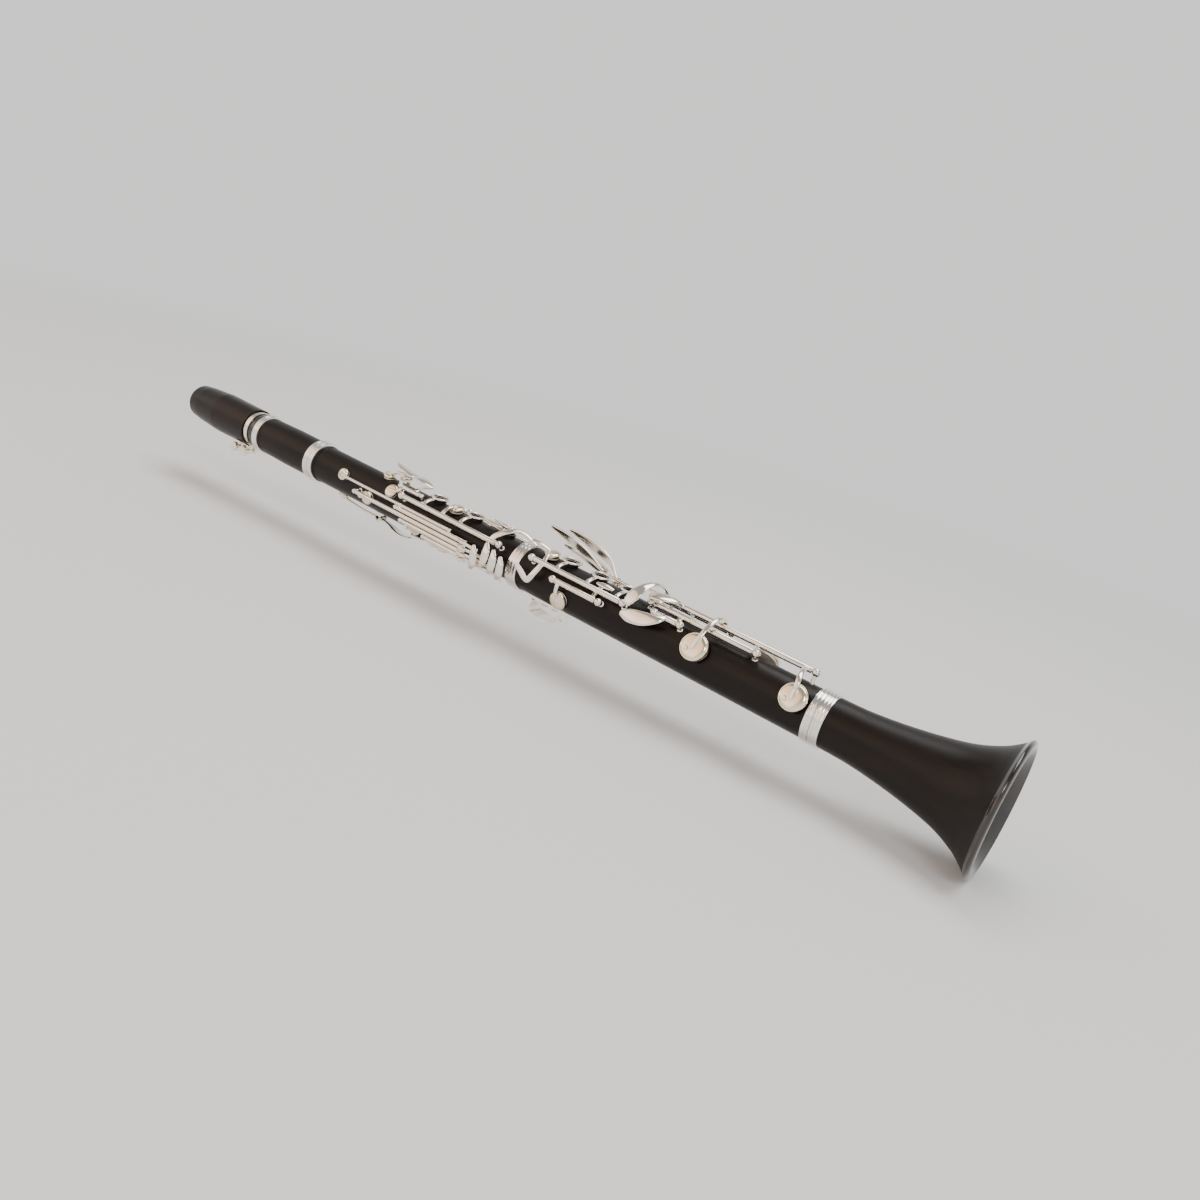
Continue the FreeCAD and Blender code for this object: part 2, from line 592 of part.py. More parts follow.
def lever_ears():
    """Thin saddles between the three left-hand levers."""
    pieces = []
    for phi, run in LEVERS.values():
        x, rho = run[LEVER_PIVOT]
        for sign in (-1, 1):
            shift = around(phi) * (sign * (LEVER_HALF + EAR_GAP + LEVER_EAR_T / 2))
            start = at(x, phi, rho) + shift - around(phi) * (LEVER_EAR_T / 2)
            eye = Part.makeCylinder(LEVER_EAR_R, LEVER_EAR_T, start, around(phi))
            length = rho - body_r(x) + STEM_DEPTH
            foot = Part.makeBox(2.6, LEVER_EAR_T, length, V(-1.3, -LEVER_EAR_T / 2, -length))
            foot = placed(foot, x, phi, rho)
            foot.translate(shift)
            pieces.append(joined([eye, foot]))
    return pieces


# ---------------------------------------------------------------- wood, rings, corks
def chimney(x, phi, hole):
    surface = body_r(x)
    outer = bar(at(x, phi, surface - 2), at(x, phi, surface + CHIMNEY_RISE), CHIMNEY_R)
    return outer.cut(bar(at(x, phi, surface - 3), at(x, phi, surface + 3), hole))


def seat_cut(name):
    """Countersink with a raised rim, and the tone hole through to the bore."""
    x, phi, cup_r, gap = PADS[name]
    rim = seat_rho(name)
    hole_r = cup_r * 0.56
    well = bar(at(x, phi, rim - 0.8), at(x, phi, rim + 4), cup_r + 0.2)
    crater = bar(at(x, phi, rim - 1), at(x, phi, rim), hole_r + 1.0)
    hole = bar(at(x, phi, 2), at(x, phi, rim + 4), hole_r)
    return well.cut(crater).fuse(hole)


def wood(x0, x1, outline, holes, cuts, chimneys):
    """Bored section with its chimneys, tone holes and seats."""
    solid = turned([(x0, 0)] + outline + [(x1, 0)])
    solid = solid.multiFuse([chimney(x, phi, FINGER_HOLE_R) for x, phi in chimneys]) if chimneys else solid
    tools = [disc(x0 - 1, x1 + 1, BORE_R)] + cuts + [seat_cut(name) for name in holes]
    tools += [bar(at(x, phi, 2), at(x, phi, body_r(x) + 6), FINGER_HOLE_R) for x, phi in chimneys]
    return solid.cut(Part.makeCompound(tools)) if len(tools) == 1 else solid.cut(tools)


UPPER_HOLES = ["register", "throat_a", "throat_g_sharp", "trill_1", "trill_2", "trill_3", "trill_4",
               "upper_ring", "sliver_upper", "c_sharp", "thumb_ring"]
LOWER_HOLES = ["lower_ring", "sliver_lower", "e_b", "f_c", "f_sharp", "a_flat"]


def upper_joint():
    tenon = TOP_SOCKET_R - CORK_DEPTH
    foot = MIDDLE_SOCKET_R - CORK_DEPTH
    x0 = UPPER_TOP - TENON_LENGTH
    x1 = JOINT_LINE + TENON_LENGTH
    outline = [(x0, tenon), (UPPER_TOP, tenon), (UPPER_TOP, UPPER_R + 0.6), (UPPER_TOP + 4.5, UPPER_R + 0.6),
               (UPPER_TOP + 6.5, UPPER_R), (JOINT_LINE, UPPER_R), (JOINT_LINE, foot), (x1, foot)]
    return wood(x0, x1, outline, UPPER_HOLES, [], UPPER_CHIMNEYS)


def lower_joint():
    x0 = JOINT_LINE + 0.2
    tenon = BELL_SOCKET_R - CORK_DEPTH
    x1 = LOWER_BOTTOM + TENON_LENGTH + 3
    ring_start = LOWER_BOTTOM - LOWER_RING_LENGTH
    outline = [(x0, JOINT_RING_R - RING_DEPTH), (JOINT_LINE + 9, JOINT_RING_R - RING_DEPTH),
               (JOINT_LINE + 12, body_r(JOINT_LINE + 12)), (ring_start, body_r(ring_start)),
               (LOWER_BOTTOM, LOWER_END_R + 0.2), (LOWER_BOTTOM, tenon), (x1, tenon)]
    socket = disc(x0 - 1, JOINT_LINE + TENON_LENGTH + 0.6, MIDDLE_SOCKET_R)
    return wood(x0, x1, outline, LOWER_HOLES, [socket], LOWER_CHIMNEYS)


def barrel():
    outline = [(BARREL_TOP, RING_R - RING_DEPTH), (BARREL_TOP + 6, RING_R - RING_DEPTH),
               (BARREL_TOP + 9, BARREL_R - 0.2), ((BARREL_TOP + BARREL_BOTTOM) / 2, BARREL_R + 0.3),
               (BARREL_BOTTOM - 8, BARREL_R + 0.2), (BARREL_BOTTOM - 4.4, JOINT_RING_R - RING_DEPTH - 0.6),
               (BARREL_BOTTOM, JOINT_RING_R - RING_DEPTH - 0.6)]
    top = disc(BARREL_TOP - 1, BARREL_TOP + TENON_LENGTH + 1, MOUTH_SOCKET_R)
    bottom = disc(BARREL_BOTTOM - TENON_LENGTH - 1, BARREL_BOTTOM + 1, TOP_SOCKET_R)
    return wood(BARREL_TOP, BARREL_BOTTOM, outline, [], [top, bottom], [])


def grooved_band(x0, x1, outer, inner, grooves):
    """Metal ring with turned grooves and eased edges."""
    edge = 0.4
    profile = [(x0, inner), (x0, outer - edge), (x0 + edge, outer)]
    pitch = (x1 - x0) / (grooves + 1)
    for i in range(grooves):
        middle = x0 + pitch * (i + 1)
        profile += [(middle - 0.35, outer), (middle, outer - 0.35), (middle + 0.35, outer)]
    profile += [(x1 - edge, outer), (x1, outer - edge), (x1, inner)]
    return turned(profile)


def barrel_rings():
    return [grooved_band(BARREL_TOP, BARREL_TOP + 5.6, RING_R, RING_R - RING_DEPTH, 1),
            grooved_band(BARREL_BOTTOM - 4.2, BARREL_BOTTOM, JOINT_RING_R - 0.6, JOINT_RING_R - RING_DEPTH - 0.6, 1)]


def upper_joint_ring():
    return grooved_band(UPPER_TOP, UPPER_TOP + 4.2, JOINT_RING_R - 0.9, UPPER_R + 0.6, 1)


def lower_joint_rings():
    return [grooved_band(JOINT_LINE + 0.2, JOINT_LINE + 8.6, JOINT_RING_R, JOINT_RING_R - RING_DEPTH, 1),
            grooved_band(LOWER_BOTTOM - LOWER_RING_LENGTH, LOWER_BOTTOM, BELL_RING_R, LOWER_END_R - 0.6, 1)]


def bell_ring():
    return grooved_band(LOWER_BOTTOM + 0.1, LOWER_BOTTOM + 6.1, BELL_RING_R, BELL_RING_R - RING_DEPTH, 1)


def spline_edge(points):
    curve = Part.BSplineCurve()
    curve.interpolate([V(x, 0, r) for x, r in points])
    return curve.toShape()


def bell():
    """Flared bell with a rounded rim, bored for the tenon."""
    top = LOWER_BOTTOM + 0.1
    reach = BELL_END - top
    rise = BELL_RIM_R - BELL_RING_R + RING_DEPTH
    flare = [(0.065, 0.0), (0.22, 0.02), (0.40, 0.10), (0.58, 0.225), (0.74, 0.385), (0.86, 0.60),
             (0.93, 0.80), (0.965, 0.94)]
    waist = BELL_RING_R - RING_DEPTH
    outer = [(top + reach * s, waist + rise * h) for s, h in flare]
    socket_end = LOWER_BOTTOM + TENON_LENGTH + 3.6
    lip_r = BELL_RIM_R - 3.6
    depth = BELL_END - socket_end
    hollow = [(1.0, 1.0), (0.94, 0.80), (0.84, 0.555), (0.70, 0.36), (0.50, 0.20), (0.26, 0.085), (0.0, 0.0)]
    inner = [(socket_end + depth * s, BORE_R + 2.2 + (lip_r - BORE_R - 2.2) * h) for s, h in hollow]
    rim_start = V(outer[-1][0], 0, outer[-1][1])
    rim_mid = V(BELL_END - 2.3, 0, BELL_RIM_R)
    rim_end = V(BELL_END, 0, BELL_RIM_R - 2.4)
    lip = V(inner[0][0], 0, inner[0][1])
    corners = [V(inner[-1][0], 0, inner[-1][1]), V(socket_end, 0, BELL_SOCKET_R), V(top, 0, BELL_SOCKET_R),
               V(top, 0, waist)]
    edges = [Part.makeLine(V(top, 0, waist), V(outer[0][0], 0, outer[0][1])),
             spline_edge(outer),
             Part.Arc(rim_start, rim_mid, rim_end).toShape(),
             Part.makeLine(rim_end, lip),
             spline_edge(inner),
             Part.makeLine(corners[0], corners[1]),
             Part.makeLine(corners[1], corners[2]),
             Part.makeLine(corners[2], corners[3])]
    return Part.Face(Part.Wire(edges)).revolve(V(0, 0, 0), V(1, 0, 0), 360)


def tenon_corks():
    """Cork sleeves on the three tenons of the two joints."""
    top = band(UPPER_TOP - TENON_LENGTH + 2, UPPER_TOP - 2.5, TOP_SOCKET_R - SOCKET_PLAY, TOP_SOCKET_R - CORK_DEPTH)
    middle = band(JOINT_LINE + 2.5, JOINT_LINE + TENON_LENGTH - 2, MIDDLE_SOCKET_R, MIDDLE_SOCKET_R - CORK_DEPTH)
    low = band(LOWER_BOTTOM + 2.5, LOWER_BOTTOM + TENON_LENGTH + 1, BELL_SOCKET_R, BELL_SOCKET_R - CORK_DEPTH)
    return [top, middle, low]


def vent_tubes():
    """Metal liners of the register vent and the thumb hole."""
    vent = bar(at(168, 180, 4.0), at(168, 180, seat_rho("register")), PADS["register"][2] * 0.56)
    vent = vent.cut(bar(at(168, 180, 3), at(168, 180, 20), 1.5))
    thumb = bar(at(247, 180, 7.6), at(247, 180, UPPER_R + CHIMNEY_RISE), FINGER_HOLE_R)
    thumb = thumb.cut(bar(at(247, 180, 7), at(247, 180, 20), FINGER_HOLE_R - 0.5))
    return [vent, thumb]


# ---------------------------------------------------------------- mouthpiece end
def mouthpiece():
    """Beaked mouthpiece with a flat table, a window and a corked tenon."""
    tenon = MOUTH_SOCKET_R - CORK_DEPTH
    solid = turned([(0, 0), (0, 11.4), (28, 12.1), (44, 12.6), (67, SHANK_R - 0.3), (71, SHANK_R),
                    (BARREL_TOP - 0.2, SHANK_R), (BARREL_TOP - 0.2, tenon),
                    (BARREL_TOP + TENON_LENGTH, tenon), (BARREL_TOP + TENON_LENGTH, 0)])
    beak = Part.Face(Part.makePolygon([V(-1, -20, -8.9), V(38, -20, 12.6), V(38, -20, 20), V(-1, -20, 20),
                                       V(-1, -20, -8.9)])).extrude(V(0, 40, 0))
    table = Part.makeBox(69, 40, 10, V(-1, -20, -10.2 - 10))
    sides = [Part.makeBox(34, 8, 30, V(-1, 7.6, -15)), Part.makeBox(34, 8, 30, V(-1, -15.6, -15))]
    solid = solid.cut([beak, table] + sides)
    bore = disc(40, 100, BORE_R)
    chamber = Part.makeBox(38, 9.6, 7.0, V(4, -4.8, -11.2))
    return solid.cut([bore, chamber])


def reed():
    """Cane reed, thin at the tip, lying on the table."""
    blank = Part.makeBox(66, 12.6, 2.6, V(0.6, -6.3, -12.8)).common(disc(0, 70, 12.95))
    scrape = Part.Face(Part.makePolygon([V(0, -8, -10.5), V(34, -8, -13.2), V(34, -8, -16), V(0, -8, -16),
                                         V(0, -8, -10.5)])).extrude(V(0, 16, 0))
    return blank.cut(scrape)


def ligature():
    """Metal band with two pairs of lugs for the screws."""
    sleeve = band(42.5, 67, LIGATURE_R, LIGATURE_R - LIGATURE_WALL)
    lugs = []
    for x in SCREW_STATIONS:
        for y in (-2.6, 2.6):
            lug = Part.makeBox(4.4, 1.6, SCREW_DROP - 10.5, V(x - 2.2, y - 0.8, -SCREW_DROP - 2.0))
            eye = Part.makeCylinder(2.2, 1.6, V(x, y - 0.8, -SCREW_DROP), V(0, 1, 0))
            lugs += [lug, eye]
    slit = Part.makeBox(30, 2.4, 6, V(40, -1.2, -18))
    inside = disc(40, 70, LIGATURE_R - LIGATURE_WALL)
    whole = joined([sleeve] + lugs).cut([inside, slit])
    drills = [Part.makeCylinder(SCREW_R + ROD_PLAY, 12, V(x, -6, -SCREW_DROP), V(0, 1, 0)) for x in SCREW_STATIONS]
    return whole.cut(drills)


def ligature_screw(x):
    """Thumb screw with a round knurled head on the trill side."""
    shank = Part.makeCylinder(SCREW_R, 9.4, V(x, -5.0, -SCREW_DROP), V(0, 1, 0))
    head = Part.makeCylinder(SCREW_HEAD_R, 2.6, V(x, -6.2, -SCREW_DROP), V(0, -1, 0))
    collar = Part.makeCylinder(2.0, 2.9, V(x, -3.5, -SCREW_DROP), V(0, -1, 0))
    notches = []
    for i in range(16):
        a = 2 * math.pi * i / 16
        centre = V(x + SCREW_HEAD_R * math.cos(a), -5, -SCREW_DROP + SCREW_HEAD_R * math.sin(a))
        notches.append(Part.makeCylinder(0.35, 8, centre, V(0, -1, 0)))
    return joined([shank, collar, head]).cut(notches)


def mouthpiece_cap():
    """Closed cap over mouthpiece and ligature, slotted at the back for the screws."""
    inner = LIGATURE_R + CAP_CLEARANCE
    outer = inner + CAP_WALL
    shell = turned([(CAP_END, 0), (CAP_END, 9.4), (CAP_END + 0.8, 11.4), (CAP_END + 3.0, 12.8), (CAP_END + 12, 13.9),
                    (24, outer), (CAP_OPEN, outer - 0.3), (CAP_OPEN, 0)])
    hollow = turned([(CAP_END + 2.2, 0), (CAP_END + 2.2, 9.0), (CAP_END + 4.5, 11.4), (CAP_END + 13, 12.6),
                     (26, inner), (CAP_OPEN + 1, inner), (CAP_OPEN + 1, 0)])
    slot = Part.makeBox(30, 9.0, 10, V(SCREW_STATIONS[0] - 4.5, -4.5, -20))
    return shell.cut([hollow, slot])


# ---------------------------------------------------------------- thumb rest
def thumb_rest():
    """Curved plate on the back with a hook for the thumb and a ring for a strap."""
    x = THUMB_REST_X
    low = body_r(x) + 0.05
    plate = band(x - 16, x + 14, low + 1.6, low).common(
        Part.makeBox(40, 13, 10, V(x - 20, -6.5, -low - 6)))
    hook = strap([(x - 12.6, 180, low + 0.8, 13.0, 1.8), (x - 14.2, 180, low + 6.0, 14.0, 1.8)])
    curl = strap([(x - 14.4, 180, low + 5.4, 14.0, 1.8), (x - 13.0, 180, low + 9.4, 15.0, 1.8),
                  (x - 6.0, 180, low + 10.6, 15.0, 1.7), (x + 4.0, 180, low + 10.2, 12.0, 1.5)])
    eye = Part.makeCylinder(4.0, 2.0, V(x + 10, 1.0, -low - 5.2), V(0, -1, 0))
    eye = eye.cut(Part.makeCylinder(2.4, 4.0, V(x + 10, 2.0, -low - 5.2), V(0, -1, 0)))
    screws = [bar(at(sx, 180, low - 6), at(sx, 180, low + 9), 1.25) for sx in THUMB_SCREWS]
    return joined([plate, hook, curl, eye]).cut(screws)


def thumb_rest_screws():
    """Two round-headed wood screws."""
    low = body_r(THUMB_REST_X) + 0.05
    screws = []
    for x in THUMB_SCREWS:
        shank = bar(at(x, 180, low - 4.5), at(x, 180, low + 1.9), 1.25)
        head = bar(at(x, 180, low + 1.6), at(x, 180, low + 2.9), 2.3)
        slot = placed(Part.makeBox(6, 0.5, 1, V(-3, -0.25, 0)), x, 180, low + 2.5)
        screws.append(joined([shank, head]).cut(slot))
    return screws


def needle_springs():
    """Blued steel needles that return the keys, each from a post to near its tube."""
    wires = []
    for name, (phi, rho, x0, x1, r) in HINGES.items():
        if name in TRILLS:
            continue
        low, high = post_stations(name)
        length = min(16.0, (high - low) * 0.45)
        side = 3.4 if phi > 0 else -3.4
        if name not in SPRINGS_AT_THE_BELL_END:
            start, end = at(low + 0.5, phi, rho - r - 0.6), at(low + length, phi + side, rho - r - 1.1)
        else:
            start, end = at(high - 0.5, phi, rho - r - 0.6), at(high - length, phi + side, rho - r - 1.1)
        wires.append(bar(start, end, 0.3))
    return wires


# ---------------------------------------------------------------- the whole instrument
def lay():
    """Pitch that brings the ligature screws and the bell rim down to one level."""
    drop = BELL_RIM_R - (SCREW_DROP + SCREW_HEAD_R)
    reach = (BELL_END - 2.3) - SCREW_STATIONS[1]
    return math.degrees(math.atan2(drop, reach))


KEYS = {
    "register_key": register_key,
    "throat_a_key": throat_a_key,
    "throat_g_sharp_key": throat_g_sharp_key,
    "trill_key_1": trill_1_key,
    "trill_key_2": lambda: trill_key(1),
    "trill_key_3": lambda: trill_key(2),
    "trill_key_4": lambda: trill_key(3),
    "upper_ring_key": upper_ring_key,
    "upper_sliver_key": sliver_upper_key,
    "c_sharp_key": c_sharp_key,
    "thumb_ring_key": thumb_ring_key,
    "lower_ring_key": lower_ring_key,
    "lower_sliver_key": sliver_lower_key,
    "low_e_key": e_b_key,
    "low_f_key": f_c_key,
    "low_f_sharp_key": f_sharp_key,
    "a_flat_key": a_flat_key,
    "left_f_sharp_lever": lambda: lever_key("lever_f_sharp"),
    "left_e_lever": lambda: lever_key("lever_e_b"),
    "left_f_lever": lambda: lever_key("lever_f_c"),
}

PAD_NODES = {
    "register_pad": "register", "throat_a_pad": "throat_a", "throat_g_sharp_pad": "throat_g_sharp",
    "trill_pad_1": "trill_1", "trill_pad_2": "trill_2", "trill_pad_3": "trill_3", "trill_pad_4": "trill_4",
    "upper_ring_pad": "upper_ring", "upper_sliver_pad": "sliver_upper", "c_sharp_pad": "c_sharp",
    "thumb_ring_pad": "thumb_ring", "lower_ring_pad": "lower_ring", "lower_sliver_pad": "sliver_lower",
    "low_e_pad": "e_b", "low_f_pad": "f_c", "low_f_sharp_pad": "f_sharp", "a_flat_pad": "a_flat",
}

UPPER_HINGES = ["throat_g_sharp", "trill_1", "trill_2", "trill_3", "trill_4", "upper_ring", "sliver_upper",
                "c_sharp", "thumb_ring"]
LOWER_HINGES = ["lower_ring", "sliver_lower", "e_b", "f_c", "f_sharp", "a_flat"]


def build():
    """All nodes, in the bore-line layout."""
    rods = hinge_rods()
    upper_posts = tube_posts(UPPER_HINGES) + [trill_bracket()]
    upper_posts += ears(*REGISTER_PIVOT, CROSS_HALF) + ears(*THROAT_A_PIVOT, CROSS_HALF)
    lower_posts = tube_posts(LOWER_HINGES) + lever_ears()
    springs = needle_springs()
    upper_posts = [piece.cut(rods + springs) for piece in upper_posts]
    lower_posts = [piece.cut(rods + springs) for piece in lower_posts]
    liners = vent_tubes()
    rest = thumb_rest()
    screws = thumb_rest_screws()
    nodes = {
        "mouthpiece_cap": [mouthpiece_cap()],
        "mouthpiece": [mouthpiece()],
        "mouthpiece_cork": [band(BARREL_TOP + 2.5, BARREL_TOP + TENON_LENGTH - 2, MOUTH_SOCKET_R,
                                 MOUTH_SOCKET_R - CORK_DEPTH)],
        "reed": [reed()],
        "ligature": [ligature()],
        "ligature_screw_1": [ligature_screw(SCREW_STATIONS[0])],
        "ligature_screw_2": [ligature_screw(SCREW_STATIONS[1])],
        "barrel": [barrel()],
        "barrel_rings": barrel_rings(),
        "upper_joint": [upper_joint().cut(upper_posts + liners)],
        "upper_joint_ring": [upper_joint_ring()],
        "tenon_corks": tenon_corks(),
        "lower_joint": [lower_joint().cut(lower_posts + screws + lower_joint_rings())],
        "lower_joint_rings": lower_joint_rings(),
        "bell": [bell()],
        "bell_ring": [bell_ring()],
        "thumb_rest": [rest],
        "thumb_rest_screws": screws,
        "vent_tubes": liners,
        "upper_posts": upper_posts,
        "lower_posts": lower_posts,
        "hinge_rods": rods,
        "needle_springs": springs,
    }
    for node, make in KEYS.items():
        nodes[node] = [make()]
    for node, name in PAD_NODES.items():
        nodes[node] = [pad(name)]
    return nodes


def main():
    os.makedirs("parts", exist_ok=True)
    nodes = build()
    pitch = FreeCAD.Placement(V(0, 0, 0), FreeCAD.Rotation(V(0, 1, 0), lay()))
    shapes = {}
    for node, solids in nodes.items():
        whole = solids[0] if len(solids) == 1 else Part.makeCompound(solids)
        whole = whole.copy()
        whole.Placement = pitch.multiply(whole.Placement)
        shapes[node] = whole
    box = Part.makeCompound(list(shapes.values())).optimalBoundingBox(False, False)
    home = V(-(box.XMin + box.XMax) / 2, -(box.YMin + box.YMax) / 2, -box.ZMin)
    print("lay", lay(), "home", home.x, home.y, home.z)
    for node, whole in shapes.items():
        whole.translate(home)
        print(node, len(whole.Solids), "%.1f" % whole.Volume, whole.isValid())
        whole.exportStep("parts/%s.step" % node)


main()
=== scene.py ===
"""The looks of a B-flat clarinet: grenadilla, black moulded cap, silver-plated keys.

Lengths along the instrument are in millimetres, as in a maker's drawing: a station x along the
bore line, an angle phi round it from the front (positive towards the side trill keys) and a
distance rho from it.  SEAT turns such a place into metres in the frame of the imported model.
"""
import json
import math

import bpy
import bmesh
from mathutils import Matrix, Vector


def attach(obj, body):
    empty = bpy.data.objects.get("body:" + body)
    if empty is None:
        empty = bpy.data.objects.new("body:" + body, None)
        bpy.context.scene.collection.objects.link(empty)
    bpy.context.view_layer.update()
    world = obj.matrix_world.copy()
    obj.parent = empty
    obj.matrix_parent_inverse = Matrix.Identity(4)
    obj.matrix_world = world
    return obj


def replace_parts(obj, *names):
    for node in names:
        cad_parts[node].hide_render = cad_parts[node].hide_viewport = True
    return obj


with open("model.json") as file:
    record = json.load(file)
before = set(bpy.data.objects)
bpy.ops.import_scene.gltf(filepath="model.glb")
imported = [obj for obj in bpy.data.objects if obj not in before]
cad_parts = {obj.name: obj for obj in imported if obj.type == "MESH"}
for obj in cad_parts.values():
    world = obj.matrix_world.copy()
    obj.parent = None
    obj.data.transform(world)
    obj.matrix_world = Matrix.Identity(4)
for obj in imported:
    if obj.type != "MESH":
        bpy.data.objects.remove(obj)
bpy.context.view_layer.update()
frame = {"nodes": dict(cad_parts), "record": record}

# ---------------------------------------------------------------- sizes, in millimetres
BELL_END = 662.0
BELL_RIM_R = 39.8
BELL_RING_R = 16.6
POLISHED_LIP = 4.2
JOINT_RING_R = 16.3
RING_R = 15.1
RING_DEPTH = 1.3
BORE_R = 7.4
BELL_SOCKET_R = 12.2
TENON_LENGTH = 17.0
BARREL_TOP = 74.0
BARREL_BOTTOM = 138.4
UPPER_TOP = 138.7
JOINT_LINE = 335.0
LOWER_BOTTOM = 557.0
LOWER_RING_LENGTH = 4.8
UPPER_R = 13.4
LOWER_R = 14.6
LOWER_END_R = 15.3
TUBE_R = 1.8
SLIM_TUBE_R = 1.5
BALL_R = 2.5
SMALL_BALL_R = 1.65
END_PLAY = 0.12
SEAT_DEPTH = 0.7
CLOSED_GAP = 0.12
OPEN_GAP = 1.2
LARGE_OPEN_GAP = 2.6
FINGER_RING_R = 6.9
FINGER_RING_HOLE = 5.3
CHIMNEY_RISE = 1.9
PAD_INSET = 0.5
CUP_BACK = 0.9
CUP_ARM_W = 2.6
CROSS_HALF = 2.6
EAR_T = 1.8
EAR_GAP = 0.12
LEVER_T = 1.7
LEVER_HALF = 1.1
LEVER_EAR_T = 0.8
TRILL_BRACKET_X = 301.0
TRILL_BRACKET_T = 2.2
TRILL_BRACKET_ARC = (79.0, 41.5)
TRILL_TUBE_END = TRILL_BRACKET_X - 0.2
TRILL_TOUCH_X = [314.5, 322.7, 329.3, 335.9]
TRILL_TOUCH_PHI = [99.0, 86.0, 92.0, 97.0]
TRILL_TOUCH_HALF = 19.0
TRILL_TOUCH_TOP = 24.7
TRILL_TOUCH_STEP = 0.55
REGISTER_PIVOT = (208.0, 180.0, 17.6)
THROAT_A_PIVOT = (222.0, 1.0, 18.4)

# Hinge tubes: angle, distance from the bore line, first and last station, tube radius
HINGES = {
    "throat_g_sharp": (38.0, 18.4, 229.5, 247.0, SLIM_TUBE_R),
    "trill_1": (84.0, 19.6, 237.4, TRILL_TUBE_END, SLIM_TUBE_R),
    "trill_2": (94.5, 19.6, 197.0, TRILL_TUBE_END, SLIM_TUBE_R),
    "trill_3": (105.0, 19.6, 244.0, TRILL_TUBE_END, SLIM_TUBE_R),
    "trill_4": (115.5, 19.6, 266.0, TRILL_TUBE_END, SLIM_TUBE_R),
    "upper_ring": (57.5, 19.0, 238.0, 322.4, TUBE_R),
    "sliver_upper": (-28.0, 17.8, 298.4, 312.4, SLIM_TUBE_R),
    "c_sharp": (-63.0, 20.0, 266.0, 326.0, TUBE_R),
    "thumb_ring": (-146.0, 18.4, 240.0, 279.0, TUBE_R),
    "lower_ring": (51.0, 20.0, 354.8, 421.4, TUBE_R),
    "sliver_lower": (69.0, 19.8, 376.2, 406.8, TUBE_R),
    "e_b": (-4.0, 22.0, 450.0, 542.0, TUBE_R),
    "f_c": (18.0, 19.6, 440.0, 508.0, TUBE_R),
    "f_sharp": (-26.0, 20.6, 436.0, 484.0, TUBE_R),
    "a_flat": (38.0, 19.4, 447.0, 460.0, TUBE_R),
}
TRILLS = ["trill_1", "trill_2", "trill_3", "trill_4"]
UPPER_HINGES = ["throat_g_sharp"] + TRILLS + ["upper_ring", "sliver_upper", "c_sharp", "thumb_ring"]
LOWER_HINGES = ["lower_ring", "sliver_lower", "e_b", "f_c", "f_sharp", "a_flat"]

# Pad cups: station, angle, radius, gap under the pad at rest
PADS = {
    "register": (168.0, 180.0, 4.2, CLOSED_GAP),
    "throat_a": (207.5, 6.0, 4.6, CLOSED_GAP),
    "throat_g_sharp": (222.0, 55.0, 4.9, CLOSED_GAP),
    "trill_1": (176.0, 74.0, 4.3, CLOSED_GAP),
    "trill_2": (203.5, 103.0, 4.9, CLOSED_GAP),
    "trill_3": (250.0, 125.0, 4.9, CLOSED_GAP),
    "trill_4": (276.0, 137.0, 4.9, CLOSED_GAP),
    "upper_ring": (274.5, 13.0, 5.2, OPEN_GAP),
    "sliver_upper": (305.0, -49.0, 4.4, CLOSED_GAP),
    "c_sharp": (272.0, -37.0, 4.9, CLOSED_GAP),
    "thumb_ring": (270.0, 180.0, 5.2, OPEN_GAP),
    "lower_ring": (358.6, 12.0, 5.2, OPEN_GAP),
    "sliver_lower": (380.0, 108.0, 6.0, CLOSED_GAP),
    "e_b": (543.2, 62.0, 8.3, LARGE_OPEN_GAP),
    "f_c": (510.0, -52.0, 8.6, LARGE_OPEN_GAP),
    "f_sharp": (478.0, 62.0, 8.6, LARGE_OPEN_GAP),
    "a_flat": (458.0, -54.0, 6.6, CLOSED_GAP),
}
LARGE_CUP_R = 8.0
UPPER_RINGS = [255.6, 289.6]
LOWER_RINGS = [372.0, 395.6, 417.9]

# Left-hand levers: angle, then (station, distance) along the blade; the fifth place is the pivot
LEVERS = {
    "lever_f_sharp": (-41.0, [(335, 34.5), (350, 32.0), (364.5, 28.6), (378, 24.8), (390, 21.0),
                              (412, 19.6)]),
    "lever_e_b": (-51.5, [(343.5, 42.0), (357, 40.5), (370, 37.3), (385, 32.2), (399, 21.4),
                          (413, 19.6)]),
    "lever_f_c": (-64.0, [(343, 36.0), (358, 35.0), (373, 31.6), (385, 28.0), (397, 21.2),
                          (412, 19.6)]),
}
LEVER_PIVOT = 4
LEVER_WIDTHS = [2.6, 6.2, 7.0, 5.2, 2.0, 2.0]
LEVER_LEANS = [-30.0, -30.0, -30.0, -18.0, 0.0, 0.0]

# ---------------------------------------------------------------- from the bore line to the frame
MM = 0.001
bell_face = next(mount for mount in frame["record"]["mounts"] if mount["name"] == "bell_face")
BORE = Vector(bell_face["axis"]).normalized()
LEFT = Vector((0, 1, 0))
FRONT = BORE.cross(LEFT)
HOME = Vector((bell_face["pos_m"][0], 0, bell_face["pos_m"][2])) - BORE * (BELL_END * MM)
TURN = Matrix((BORE, LEFT, FRONT)).transposed().to_4x4()
SEAT = Matrix.Translation(HOME) @ TURN @ Matrix.Scale(MM, 4)


def at(x, phi, rho):
    """Place at station x, angle phi and distance rho, in millimetres along the bore line."""
    a = math.radians(phi)
    return Vector((x, -rho * math.sin(a), rho * math.cos(a)))


def outward(phi):
    return at(0, phi, 1)


def around(phi):
    """Unit vector along the surface, towards larger angles."""
    a = math.radians(phi)
    return Vector((0, -math.cos(a), -math.sin(a)))


